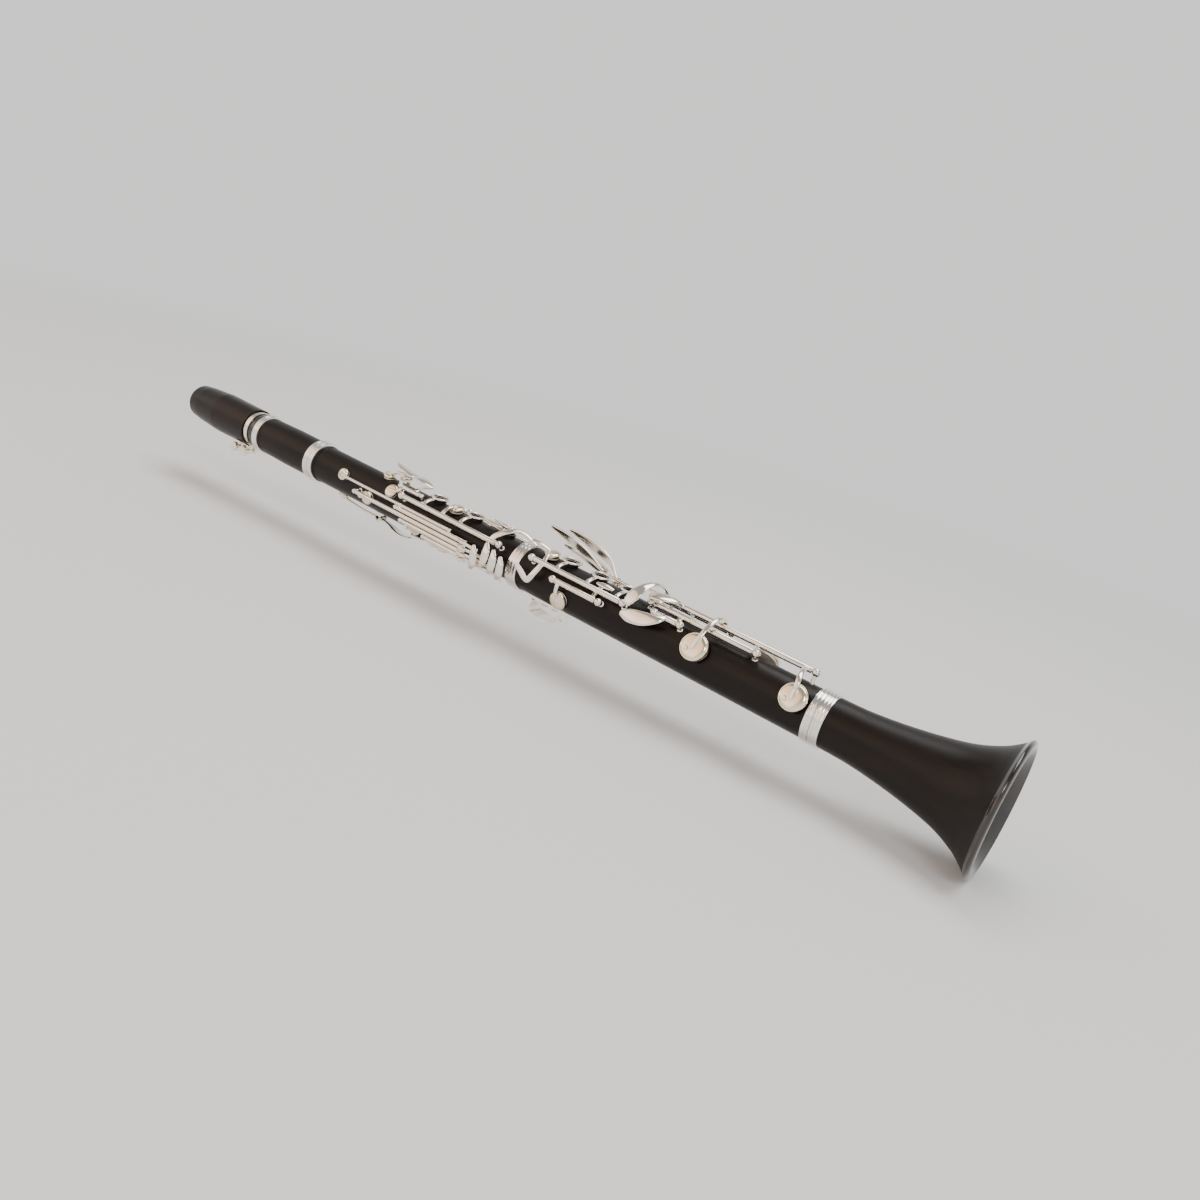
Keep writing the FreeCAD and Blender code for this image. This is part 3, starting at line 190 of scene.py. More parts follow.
def body_r(x):
    """Outside radius of the wood at a station."""
    if x < JOINT_LINE:
        return UPPER_R
    return LOWER_R + (LOWER_END_R - LOWER_R) * (x - JOINT_LINE) / (LOWER_BOTTOM - JOINT_LINE)


# ---------------------------------------------------------------- meshes
class Form:
    """Points and faces of one piece, gathered in millimetres."""

    def __init__(self):
        self.points = []
        self.faces = []

    def add(self, points, faces):
        first = len(self.points)
        self.points += points
        self.faces += [[first + i for i in face] for face in faces]

    def rings(self, rings, closed=False):
        """Skin over rings of equally many points, capped at both ends or joined up."""
        n = len(rings[0])
        count = len(rings)
        faces = []
        for k in range(count if closed else count - 1):
            a = k * n
            b = ((k + 1) % count) * n
            faces += [[a + i, a + (i + 1) % n, b + (i + 1) % n, b + i] for i in range(n)]
        if not closed:
            faces.append(list(range(n))[::-1])
            faces.append([(count - 1) * n + i for i in range(n)])
        self.add([point for ring in rings for point in ring], faces)
        return self

    def piece(self, name, body, material, slot, sharp=38):
        """Blender object that rides on a body, smooth except along its sharp edges."""
        mesh = bpy.data.meshes.new(name)
        mesh.from_pydata([SEAT @ point for point in self.points], [], self.faces)
        tidy = bmesh.new()
        tidy.from_mesh(mesh)
        bmesh.ops.remove_doubles(tidy, verts=tidy.verts, dist=2e-6)
        bmesh.ops.recalc_face_normals(tidy, faces=tidy.faces)
        limit = math.radians(sharp)
        for edge in tidy.edges:
            edge.smooth = len(edge.link_faces) == 2 and edge.calc_face_angle(0) < limit
        for face in tidy.faces:
            face.smooth = True
        tidy.to_mesh(mesh)
        tidy.free()
        mesh.materials.append(material)
        piece = bpy.data.objects.new(name, mesh)
        bpy.context.scene.collection.objects.link(piece)
        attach(piece, body)
        return piece


def lathe(form, profile, start, axis, steps=40, closed=False):
    """Turned shape: (height, radius) points about an axis."""
    axis = axis.normalized()
    side = axis.orthogonal().normalized()
    other = axis.cross(side)
    turn = [2 * math.pi * i / steps for i in range(steps)]
    spokes = [side * math.cos(a) + other * math.sin(a) for a in turn]
    rings = []
    for height, radius in profile:
        centre = start + axis * height
        rings.append([centre + spoke * max(radius, 0.001) for spoke in spokes])
    form.rings(rings, closed)


def eased(points, steps=6):
    """Smooth curve through points of any dimension."""
    curve = []
    last = len(points) - 1
    for i in range(last):
        a, b = points[max(i - 1, 0)], points[i]
        c, d = points[i + 1], points[min(i + 2, last)]
        for k in range(steps):
            t = k / steps
            curve.append([0.5 * (2 * q + (r - p) * t + (2 * p - 5 * q + 4 * r - s) * t * t
                                 + (3 * q - p - 3 * r + s) * t * t * t)
                          for p, q, r, s in zip(a, b, c, d)])
    curve.append(list(points[last]))
    return curve


def tube(form, start, end, r):
    """Round tube or bar with eased ends."""
    ease = 0.18
    run = (end - start).length
    profile = [(0, 0), (0, r - ease), (ease * 0.3, r - ease * 0.3), (ease, r),
               (run - ease, r), (run - ease * 0.3, r - ease * 0.3), (run, r - ease), (run, 0)]
    lathe(form, profile, start, end - start, 28)


def ball(form, centre, r, axis):
    turn = [math.pi * i / 14 for i in range(15)]
    lathe(form, [(-r * math.cos(a), r * math.sin(a)) for a in turn], centre, axis, 28)


def section(width, thick, crown):
    """Rounded bar section, with a crowned upper side."""
    steps = 20
    outline = []
    for i in range(steps):
        a = 2 * math.pi * i / steps
        across = math.copysign(abs(math.cos(a)) ** 0.62, math.cos(a)) * width / 2
        through = math.copysign(abs(math.sin(a)) ** 0.7, math.sin(a)) * thick / 2
        if through > 0:
            through *= 1 + crown * (1 - (2 * across / width) ** 2)
        outline.append((across, through))
    return outline


def strap(form, stations, crown=0.25, leans=()):
    """Curved bar through stations of (x, phi, rho, width, thickness), rounded at both ends.

    A lean turns the section about the run of the bar, in degrees at each station.
    """
    path = eased(stations)
    tilts = [lean for (lean,) in eased([(lean,) for lean in leans or [0.0] * len(stations)])]
    places = [at(x, phi, rho) for x, phi, rho, width, thick in path]
    last = len(places) - 1
    rings = []
    for i, (x, phi, rho, width, thick) in enumerate(path):
        run = (places[min(i + 1, last)] - places[max(i - 1, 0)]).normalized()
        side = run.cross(outward(phi + tilts[i])).normalized()
        up = side.cross(run).normalized()
        ends = [(0.0, 1.0)]
        if i in (0, last):
            ends = [(math.sin(a) * width * 0.32, math.cos(a)) for a in (0.0, 0.5, 0.9, 1.2, 1.42)]
        if i == 0:
            ends = [(-reach, share) for reach, share in ends[::-1]]
        for reach, share in ends:
            middle = places[i] + run * reach
            rings.append([middle + side * (s * share) + up * (t * (0.35 + 0.65 * share))
                          for s, t in section(width, thick, crown)])
    form.rings(rings)


# ---------------------------------------------------------------- shader maths
class Value:
    """A shader socket that takes part in Python arithmetic."""

    def __init__(self, shading, socket):
        self.shading = shading
        self.socket = socket

    def math(self, operation, first, second):
        return self.shading.node("ShaderNodeMath", {"operation": operation}, {0: first, 1: second})

    def __add__(self, other):
        return self.math("ADD", self, other)

    def __radd__(self, other):
        return self.math("ADD", other, self)

    def __mul__(self, other):
        return self.math("MULTIPLY", self, other)

    def __rmul__(self, other):
        return self.math("MULTIPLY", other, self)

    def __sub__(self, other):
        return self.math("SUBTRACT", self, other)

    def __rsub__(self, other):
        return self.math("SUBTRACT", other, self)


class Shading:
    """The nodes of a material or of the room."""

    def __init__(self, tree):
        self.tree = tree

    def feed(self, socket, value):
        if isinstance(value, Value):
            self.tree.links.new(value.socket, socket)
        else:
            socket.default_value = value

    def node(self, kind, settings, inputs, output=0):
        node = self.tree.nodes.new(kind)
        for key, value in settings.items():
            setattr(node, key, value)
        for socket, value in inputs.items():
            self.feed(node.inputs[socket], value)
        return Value(self, node.outputs[output])

    def band(self, value, low, high):
        """How far a value has come from low to high, held between 0 and 1."""
        return self.node("ShaderNodeMapRange", {"clamp": True},
                         {"Value": value, "From Min": low, "From Max": high})

    def mix(self, factor, first, second):
        return self.node("ShaderNodeMix", {"data_type": "RGBA"},
                         {0: factor, 6: (*first, 1), 7: (*second, 1)}, 2)


class Finish(Shading):
    """A material and the nodes behind its Principled shader."""

    def __init__(self, name, colour, roughness, metallic=0.0, **settings):
        self.material = bpy.data.materials.new(name)
        self.material.use_nodes = True
        super().__init__(self.material.node_tree)
        self.shader = self.tree.nodes["Principled BSDF"]
        self.set("Base Color", (*colour, 1))
        self.set("Roughness", roughness)
        self.set("Metallic", metallic)
        for socket, value in settings.items():
            self.set(socket.replace("_", " ").title().replace("Ior", "IOR"), value)

    def set(self, socket, value):
        self.feed(self.shader.inputs[socket], value)

    def place(self, stretch=(1, 1, 1)):
        where = self.node("ShaderNodeTexCoord", {}, {}, "Object")
        return self.node("ShaderNodeVectorMath", {"operation": "MULTIPLY"}, {0: where, 1: stretch})

    def noise(self, scale, stretch=(1, 1, 1), detail=4.0, roughness=0.5):
        return self.node("ShaderNodeTexNoise", {}, {"Vector": self.place(stretch), "Scale": scale,
                                                    "Detail": detail, "Roughness": roughness})

    def bump(self, height, strength, distance):
        self.set("Normal", self.node("ShaderNodeBump", {}, {"Strength": strength, "Distance": distance,
                                                            "Height": height}))


def grenadilla():
    """Oiled blackwood: near black, with long brown streaks and fine open pores."""
    wood = Finish("grenadilla", (0.008, 0.005, 0.004), 0.4, specular_ior_level=0.22)
    streak = wood.noise(150, (0.10, 1, 1), 6, 0.62)
    broad = wood.noise(38, (0.16, 1, 1), 3)
    pores = wood.band(wood.noise(2600, (0.07, 1, 1), 2, 0.4), 0.60, 0.70)
    tone = wood.band(streak * 0.7 + broad * 0.3, 0.36, 0.68)
    wood.set("Base Color", wood.mix(tone, (0.0030, 0.0020, 0.0016), (0.0120, 0.0062, 0.0040)))
    wood.set("Roughness", 0.33 + streak * 0.12 + pores * 0.14)
    wood.bump(streak * 0.25 - pores * 0.6, 0.35, 0.00006)
    return wood.material


def bell_lip():
    """The polished end of the same wood."""
    wood = Finish("polished_grenadilla", (0.01, 0.008, 0.007), 0.12, coat_weight=0.6, coat_roughness=0.06)
    streak = wood.noise(150, (0.3, 1, 1), 5, 0.6)
    tone = wood.band(streak, 0.35, 0.7)
    wood.set("Base Color", wood.mix(tone, (0.006, 0.0045, 0.004), (0.020, 0.012, 0.009)))
    wood.set("Roughness", 0.09 + streak * 0.10)
    return wood.material


def cap_plastic():
    """Moulded black-brown cap with a fine satin skin."""
    cap = Finish("cap_plastic", (0.01, 0.007, 0.006), 0.34, specular_ior_level=0.24)
    skin = cap.noise(1400, detail=3)
    rub = cap.band(cap.noise(60, (0.5, 1, 1), 4), 0.35, 0.7)
    cap.set("Base Color", cap.mix(rub, (0.0055, 0.0038, 0.0032), (0.0125, 0.0075, 0.0055)))
    cap.set("Roughness", 0.26 + rub * 0.12 + skin * 0.05)
    cap.bump(skin, 0.12, 0.00003)
    return cap.material


def ebonite():
    rubber = Finish("ebonite", (0.008, 0.008, 0.009), 0.12, coat_weight=0.3)
    haze = rubber.noise(220, detail=4)
    rubber.set("Base Color", rubber.mix(haze, (0.006, 0.006, 0.007), (0.014, 0.013, 0.012)))
    rubber.set("Roughness", 0.08 + haze * 0.12)
    return rubber.material


def silver(name, polish=0.14, warm_reflection=0.0):
    """Silver plate with faint wiping marks, a little handled bloom and soft ripples from buffing, its colour
    tinted towards peach and gold by the last argument as a painted warm reflection.
    """
    plate = Finish(name, (0.93, 0.91, 0.88), polish, 1.0)
    wipe = plate.noise(900, (0.25, 1, 1), 5, 0.6)
    bloom = plate.band(plate.noise(95, detail=4), 0.42, 0.72)
    # Painted warm reflection: the last argument shifts both plate tones towards peach and gold.
    bright = (0.96, 0.93 - warm_reflection * 0.05, 0.87 - warm_reflection * 0.14)
    handled = (0.90, 0.83 - warm_reflection * 0.05, 0.74 - warm_reflection * 0.12)
    plate.set("Base Color", plate.mix(bloom, bright, handled))
    plate.set("Roughness", polish + bloom * 0.07 + plate.band(wipe, 0.55, 0.8) * 0.06)
    plate.bump(plate.noise(240, detail=2) * 0.8 + wipe * 0.12, 0.06, 0.0001)
    return plate.material


def turned_silver():
    """Ring metal with fine lathe lines along the bore."""
    plate = Finish("turned_silver", (0.93, 0.92, 0.9), 0.14, 1.0)
    lines = plate.noise(1.0, (9000, 20, 20), 2)
    bloom = plate.band(plate.noise(110, detail=4), 0.45, 0.75)
    plate.set("Base Color", plate.mix(bloom, (0.95, 0.93, 0.89), (0.88, 0.83, 0.76)))
    plate.set("Roughness", 0.11 + lines * 0.09 + bloom * 0.05)
    plate.bump(lines, 0.10, 0.00003)
    return plate.material


def rod_steel():
    steel = Finish("rod_steel", (0.58, 0.58, 0.6), 0.28, 1.0)
    lines = steel.noise(1500, (0.05, 1, 1), 4)
    steel.set("Base Color", steel.mix(lines, (0.46, 0.46, 0.48), (0.66, 0.66, 0.67)))
    steel.set("Roughness", 0.2 + lines * 0.18)
    return steel.material


def spring_blue():
    steel = Finish("blued_spring", (0.05, 0.08, 0.2), 0.25, 1.0)
    heat = steel.band(steel.noise(160, detail=3), 0.35, 0.7)
    steel.set("Base Color", steel.mix(heat, (0.035, 0.06, 0.19), (0.16, 0.13, 0.22)))
    steel.set("Roughness", 0.2 + heat * 0.12)
    return steel.material


def cork():
    """Natural cork with dark lenticels, smoothed by grease."""
    bark = Finish("tenon_cork", (0.45, 0.27, 0.15), 0.7)
    grain = bark.noise(700, detail=6, roughness=0.7)
    flecks = bark.band(bark.noise(1300, (1, 0.5, 0.5), 3), 0.60, 0.68)
    tone = bark.band(grain - flecks * 0.3, 0.2, 0.65)
    bark.set("Base Color", bark.mix(tone, (0.17, 0.085, 0.045), (0.52, 0.33, 0.18)))
    bark.set("Roughness", 0.55 + grain * 0.3)
    bark.bump(grain - flecks, 0.5, 0.00015)
    return bark.material


def cane():
    """Reed cane: straw yellow, with vertical fibres."""
    reed = Finish("reed_cane", (0.7, 0.56, 0.27), 0.55)
    fibre = reed.noise(1400, (0.03, 1, 1), 4, 0.6)
    reed.set("Base Color", reed.mix(reed.band(fibre, 0.3, 0.7), (0.50, 0.36, 0.15), (0.80, 0.68, 0.38)))
    reed.set("Roughness", 0.45 + fibre * 0.2)
    reed.bump(fibre, 0.3, 0.00005)
    return reed.material


def pad_skin():
    """Thin pale skin over felt, faintly wrinkled."""
    skin = Finish("pad_skin", (0.82, 0.75, 0.63), 0.5)
    wrinkle = skin.noise(900, detail=5, roughness=0.65)
    age = skin.band(skin.noise(180, detail=3), 0.4, 0.7)
    skin.set("Base Color", skin.mix(age, (0.84, 0.78, 0.67), (0.66, 0.53, 0.38)))
    skin.set("Roughness", 0.38 + wrinkle * 0.2)
    skin.bump(wrinkle, 0.35, 0.0001)
    return skin.material


# Painted warm reflection: the last argument tints the key plate a little and the cup plate strongly towards
# peach and gold.
SILVER = silver("key_silver", 0.13, 0.35)
CUP_SILVER_WARM_REFLECTION = silver("cup_silver_painted_warm_reflection", 0.12, 1.7)
RING_SILVER = turned_silver()
WOOD = grenadilla()
POLISHED = bell_lip()
CAP = cap_plastic()
EBONITE = ebonite()
STEEL = rod_steel()
BLUE = spring_blue()
CORK = cork()
CANE = cane()
SKIN = pad_skin()

NODE_FINISH = {
    "mouthpiece_cap": CAP, "mouthpiece": EBONITE, "mouthpiece_cork": CORK, "reed": CANE,
    "ligature": SILVER, "ligature_screw_1": SILVER, "ligature_screw_2": SILVER, "barrel": WOOD,
    "upper_joint": WOOD, "lower_joint": WOOD, "tenon_corks": CORK, "bell": WOOD,
    "thumb_rest": SILVER, "thumb_rest_screws": STEEL, "vent_tubes": SILVER, "hinge_rods": STEEL,
    "needle_springs": BLUE, "barrel_rings": RING_SILVER, "upper_joint_ring": RING_SILVER,
    "lower_joint_rings": RING_SILVER, "bell_ring": RING_SILVER, "upper_posts": SILVER, "lower_posts": SILVER,
}


def finish_cad_nodes():
    for name, node in frame["nodes"].items():
        material = NODE_FINISH.get(name, SKIN if "_pad" in name else SILVER)
        node.data.materials.clear()
        node.data.materials.append(material)


# ---------------------------------------------------------------- key parts
def seat_rho(name):
    return body_r(PADS[name][0]) - SEAT_DEPTH


def pad_thickness(cup_r):
    return 1.5 + 0.2 * cup_r


def cup_top(name):
    cup_r, gap = PADS[name][2:]
    return seat_rho(name) + gap + pad_thickness(cup_r) + CUP_BACK


def cup(form, name):
    """Pad cup: a thin turned wall, an eased shoulder and a low dome with a turned step."""
    x, phi, cup_r, gap = PADS[name]
    rim = pad_thickness(cup_r) * 0.45
    back = pad_thickness(cup_r) + CUP_BACK
    dome = 0.06 * cup_r + 0.2
    inner = cup_r - PAD_INSET + 0.06
    profile = [(back - 0.85, 0), (back - 0.85, inner), (rim, inner), (rim, cup_r - 0.08),
               (rim + 0.12, cup_r), (back - 0.95, cup_r), (back - 0.6, cup_r - 0.08),
               (back - 0.35, cup_r - 0.32)]
    shoulder, foot = cup_r - 0.4, back - 0.30
    if cup_r > LARGE_CUP_R:
        profile += [(back - 0.33, cup_r - 0.75), (back - 0.42, cup_r - 0.9)]
        shoulder, foot = cup_r - 1.05, back - 0.40
    for i in range(1, 11):
        a = math.pi / 2 * i / 10
        profile.append((foot + (back + dome - foot) * math.sin(a), shoulder * math.cos(a)))
    lathe(form, profile, at(x, phi, seat_rho(name) + gap), outward(phi), 56)


def finger_ring(form, x, phi, rho):
    """Round-edged ring that lies about a chimney."""
    middle = (FINGER_RING_R + FINGER_RING_HOLE) / 2
    half = (FINGER_RING_R - FINGER_RING_HOLE) / 2
    profile = []
    for i in range(16):
        a = 2 * math.pi * i / 16
        height = 0.85 + math.copysign(abs(math.sin(a)) ** 0.8, math.sin(a)) * 0.85
        profile.append((height, middle + math.copysign(abs(math.cos(a)) ** 0.75, math.cos(a)) * half))
    lathe(form, profile, at(x, phi, rho), outward(phi), 56, closed=True)


def hinge_tube(form, name):
    phi, rho, x0, x1, r = HINGES[name]
    tube(form, at(x0, phi, rho), at(x1, phi, rho), r)


def cup_arm(form, name, x):
    """Arm from the hinge tube to the middle of the cup's back."""
    phi, rho = HINGES[name][:2]
    px, pphi, cup_r = PADS[name][:3]
    top = cup_top(name)
    width = CUP_ARM_W
    step = math.copysign(math.degrees(cup_r / top), phi - pphi)
    strap(form, [(x, phi, rho, width + 0.8, 1.8),
                 ((x + px) / 2, (phi + pphi) / 2, max(rho, top + 0.4), width, 1.6),
                 (px, pphi + step * 0.55, top + 0.45, width, 1.4),
                 (px, pphi - step * 0.2, top + 0.25, width * 0.8, 1.2)])


def ring_arm(form, name, x, ring_rho):
    """Curved arm from the hinge tube to the near edge of a finger ring."""
    phi, rho = HINGES[name][:2]
    edge = math.degrees(FINGER_RING_R / ring_rho)
    strap(form, [(x, phi, rho, 3.4, 1.8), (x, phi * 0.66 + edge * 0.34, rho - 0.1, 3.0, 1.6),
                 (x, edge * 0.92, ring_rho + 1.0, 2.8, 1.5)])


def cup_piece(node, name):
    """The cup of a key, in a copy of the plate whose strong peach and gold tint is a painted warm reflection.
    """
    form = Form()
    cup(form, name)
    form.piece(node.replace("_key", "") + "_cup", node, CUP_SILVER_WARM_REFLECTION, "silver", 50)


RING_RHO = UPPER_R + CHIMNEY_RISE - 0.2
LOWER_RING_RHO = LOWER_R + CHIMNEY_RISE - 0.1


def throat_g_sharp_key():
    form = Form()
    top = cup_top("throat_g_sharp")
    hinge_tube(form, "throat_g_sharp")
    strap(form, [(231.2, 38, 18.4, 2.6, 1.6), (230.4, 48, 18.6, 2.6, 1.5),
                 (226.4, 54, top + 0.8, 2.6, 1.4), (221.0, 55, top + 0.35, 2.2, 1.2)])
    strap(form, [(242, 38, 18.6, 3.4, 1.8), (241, 26, 18.2, 3.6, 1.2), (239.5, 8, 17.0, 4.4, 1.2),
                 (238.5, -12, 17.4, 6.2, 1.3), (238, -28, 18.4, 6.0, 1.3)])
    return form


def trill_touch(form, i):
    """One of four nested side touches: a domed crescent on a neck that rises over the plate."""
    phi, rho = HINGES[TRILLS[i]][:2]
    middle = TRILL_TOUCH_PHI[i]
    half = TRILL_TOUCH_HALF
    x = TRILL_TOUCH_X[i]
    top = TRILL_TOUCH_TOP - TRILL_TOUCH_STEP * i
    strap(form, [(x - 3.0, middle - half, top - 1.1, 3.0, 1.2),
                 (x - 0.8, middle - half * 0.5, top - 0.1, 5.4, 1.3),
                 (x, middle, top + 0.2, 6.0, 1.3),
                 (x - 0.8, middle + half * 0.5, top - 0.1, 5.4, 1.3),
                 (x - 3.0, middle + half, top - 1.1, 3.0, 1.2)], 0.6)
    plate = TRILL_BRACKET_X
    neck = [(plate - 4.8, phi, rho + 0.3, 2.4, 2.0), (plate - 1.2, phi, rho + 2.8, 2.2, 1.3),
            (plate + 2.9, phi, rho + 2.8, 2.2, 1.3)]
    if i > 0:
        neck += [(plate + 5.0, phi, rho + 0.9, 2.2, 1.3), (x - 4.0, phi, rho + 0.6, 2.2, 1.3)]
    neck.append((x + 1.0, phi, top - 0.6, 2.2, 1.3))
    strap(form, neck)


def trill_1_key():
    form = Form()
    hinge_tube(form, "trill_1")
    tube(form, at(179, 76, 19.4), at(287.5, 76, 20.0), 1.0)
    for x in (239, 286):
        strap(form, [(x, 75, 20.0, 2.4, 1.4), (x, 84, 19.8, 2.4, 1.4)])
    top = cup_top("trill_1")
    strap(form, [(174, 74, top + 0.3, 2.6, 1.4), (177, 74.6, top + 0.8, 2.8, 2.4),
                 (181, 76, 19.3, 2.4, 2.0)])
    trill_touch(form, 0)
    return form


def trill_key(i):
    form = Form()
    name = TRILLS[i]
    hinge_tube(form, name)
    cup_arm(form, name, HINGES[name][2] + 3.4)
    trill_touch(form, i)
    return form


def upper_ring_key():
    form = Form()
    hinge_tube(form, "upper_ring")
    for x in UPPER_RINGS:
        finger_ring(form, x, 0, RING_RHO)
        ring_arm(form, "upper_ring", x, RING_RHO)
    cup_arm(form, "upper_ring", 273.0)
    strap(form, [(317.4, 57.5, 19.0, 3.8, 2.0), (320.0, 45, 20.6, 4.2, 1.8), (325.5, 30, 22.0, 4.2, 1.7),
                 (330.5, 16, 22.2, 4.0, 1.6), (337.0, 12, 20.9, 3.8, 1.5), (345.5, 15, 18.0, 3.2, 1.3)])
    return form


def sliver_upper_key():
    form = Form()
    hinge_tube(form, "sliver_upper")
    strap(form, [(305, -28, 17.8, 3.0, 1.6), (305, -12, 17.6, 3.0, 1.4), (305, 4, 17.2, 3.4, 1.4)])
    strap(form, [(298.6, 3.5, 16.9, 2.4, 1.4), (304, 4.5, 17.2, 4.2, 1.6), (312.0, 5, 16.9, 2.6, 1.4)])
    cup_arm(form, "sliver_upper", 305.0)
    return form


def c_sharp_key():
    form = Form()
    hinge_tube(form, "c_sharp")
    cup_arm(form, "c_sharp", 272.0)
    strap(form, [(319.4, -63, 20.0, 3.4, 2.0), (321.4, -72, 21.8, 4.6, 1.7), (325, -86, 22.8, 7.6, 1.6),
                 (327, -101, 22.4, 7.0, 1.5)])
    return form


def thumb_ring_key():
    form = Form()
    phi, rho = HINGES["thumb_ring"][:2]
    top = cup_top("thumb_ring")
    hinge_tube(form, "thumb_ring")
    finger_ring(form, 247, 180, RING_RHO)
    strap(form, [(247, -146, 18.4, 3.2, 1.8), (247, -153, 17.6, 3.0, 1.6), (247, -158, 16.4, 2.8, 1.4)])
    strap(form, [(270, phi, rho, 3.2, 1.8), (270, -160, rho + 0.2, 2.8, 1.6),
                 (270, -178, top + 0.3, 2.4, 1.3)])
    return form


def cross_tube(form, x, phi, rho, half):
    centre = at(x, phi, rho)
    tube(form, centre - around(phi) * half, centre + around(phi) * half, TUBE_R)


def register_key():
    form = Form()
    top = cup_top("register")
    strap(form, [(165.5, 180, top + 0.35, 3.0, 1.3), (171, 180, top + 0.5, 3.2, 1.5),
                 (188, 180, 17.9, 2.6, 1.6), (208, 180, 17.8, 3.6, 2.0), (217, 180, 18.6, 5.0, 1.6),
                 (226, 180, 20.4, 9.0, 1.5), (233, 180, 20.9, 9.0, 1.5), (237.6, 180, 20.4, 6.0, 1.3)])
    cross_tube(form, *REGISTER_PIVOT, CROSS_HALF)
    return form


def throat_a_key():
    form = Form()
    top = cup_top("throat_a")
    strap(form, [(204.5, 5, top + 0.35, 3.0, 1.3), (209, 5, top + 0.7, 5.0, 1.6), (215, 3, 19.6, 4.4, 1.6),
                 (222, 1, 19.4, 3.8, 2.2), (225.4, 1.5, 20.2, 4.2, 1.8), (229.5, 2, 21.3, 8.4, 1.6),
                 (236, 4, 22.6, 9.4, 1.5), (243, 6, 22.0, 7.6, 1.4), (248.2, 8, 20.9, 3.4, 1.1)], 0.35)
    strap(form, [(207.5, -7, 24.4, 1.6, 1.5), (212.5, -4, 24.0, 6.0, 1.5), (220.5, 0, 23.1, 8.6, 1.5),
                 (229.5, 2, 21.9, 9.0, 1.8)], 0.35)
    cross_tube(form, *THROAT_A_PIVOT, CROSS_HALF)
    return form


def lever_key(name):
    """Left-hand little-finger lever: a long curved blade on a cross pin."""
    form = Form()
    phi, run = LEVERS[name]
    blade = [(x, phi, rho, width, LEVER_T) for (x, rho), width in zip(run, LEVER_WIDTHS)]
    strap(form, blade, 0.45, LEVER_LEANS)
    x, rho = run[LEVER_PIVOT]
    cross_tube(form, x, phi, rho, LEVER_HALF)
    return form


def lower_ring_key():
    form = Form()
    hinge_tube(form, "lower_ring")
    for x in LOWER_RINGS:
        finger_ring(form, x, 0, LOWER_RING_RHO)
        ring_arm(form, "lower_ring", x, LOWER_RING_RHO)
    cup_arm(form, "lower_ring", 361.5)
    strap(form, [(361.5, 51, 20.0, 3.8, 1.8), (360.6, 67, 20.4, 4.0, 1.6), (357.8, 88, 20.8, 4.0, 1.6),
                 (354.8, 90, 20.8, 4.0, 1.6), (350.0, 82, 20.7, 3.8, 1.6), (345.6, 76, 20.5, 3.4, 1.5)])
    strap(form, [(356.5, 14, 19.4, 3.0, 1.3), (350, 16, 21.3, 3.2, 1.2), (343.5, 17, 21.6, 3.4, 1.2)])
    return form


def sliver_lower_key():
    form = Form()
    hinge_tube(form, "sliver_lower")
    strap(form, [(403, 69, 19.8, 3.0, 1.6), (403, 60, 17.0, 3.0, 1.0), (403, 47, 16.6, 3.0, 1.0),
                 (404, 33, 17.0, 3.2, 1.2)])
    strap(form, [(399.5, 31, 17.0, 2.4, 1.4), (405, 30, 17.4, 4.2, 1.6), (411, 29, 17.0, 2.4, 1.4)])
    cup_arm(form, "sliver_lower", 378.4)
    return form


def large_arm(form, name, stations):
    """Strap over the back of a large cup, with a small ringed knob beside its end."""
    x, phi = PADS[name][:2]
    strap(form, stations)
    knob_phi = phi + 8 * (1 if phi > 0 else -1)
    foot = at(x - 3.4, knob_phi, cup_top(name) + 0.1)
    lathe(form, [(0, 1.9), (0.35, 1.9), (0.5, 1.75), (0.55, 1.35), (0.75, 1.3), (0.8, 1.5), (1.05, 1.45),
                 (1.2, 1.1), (1.25, 0.55), (1.0, 0.4), (1.0, 0)], foot, outward(knob_phi), 32)


def e_b_key():
    form = Form()
    top = cup_top("e_b")
    hinge_tube(form, "e_b")
    large_arm(form, "e_b", [(538.8, -4, 22.0, 3.4, 1.8), (539.2, 10, 23.0, 3.2, 1.6),
                            (541.2, 33, 24.6, 3.0, 1.6), (542.4, 45, 23.9, 3.0, 1.4),
                            (542.8, 54, top + 1.0, 3.0, 1.4), (543.2, 66, top + 0.5, 2.6, 1.2)])
    strap(form, [(453.5, -4, 22.4, 4.2, 1.8), (451.5, 7, 25.0, 5.6, 1.7), (445, 16, 25.6, 9.0, 1.6),
                 (438, 21, 25.0, 7.0, 1.4)], 0.5)
    return form


def f_c_key():
    form = Form()
    top = cup_top("f_c")
    hinge_tube(form, "f_c")
    large_arm(form, "f_c", [(506, 18, 19.6, 3.6, 1.8), (506.4, 2, 18.0, 3.2, 1.5),
                            (507.2, -12, 19.4, 3.0, 1.5), (508.2, -28, 23.4, 3.0, 1.5),
                            (509.2, -42, top + 1.1, 3.0, 1.4), (510, -56, top + 0.5, 2.6, 1.2)])
    strap(form, [(442.4, 18, 19.8, 3.6, 1.6), (441.6, 8, 20.8, 4.0, 1.4), (438.5, -1, 22.2, 7.2, 1.6),
                 (432, -4, 22.8, 7.6, 1.5), (426.5, -5, 21.8, 5.0, 1.3)], 0.5)
    return form


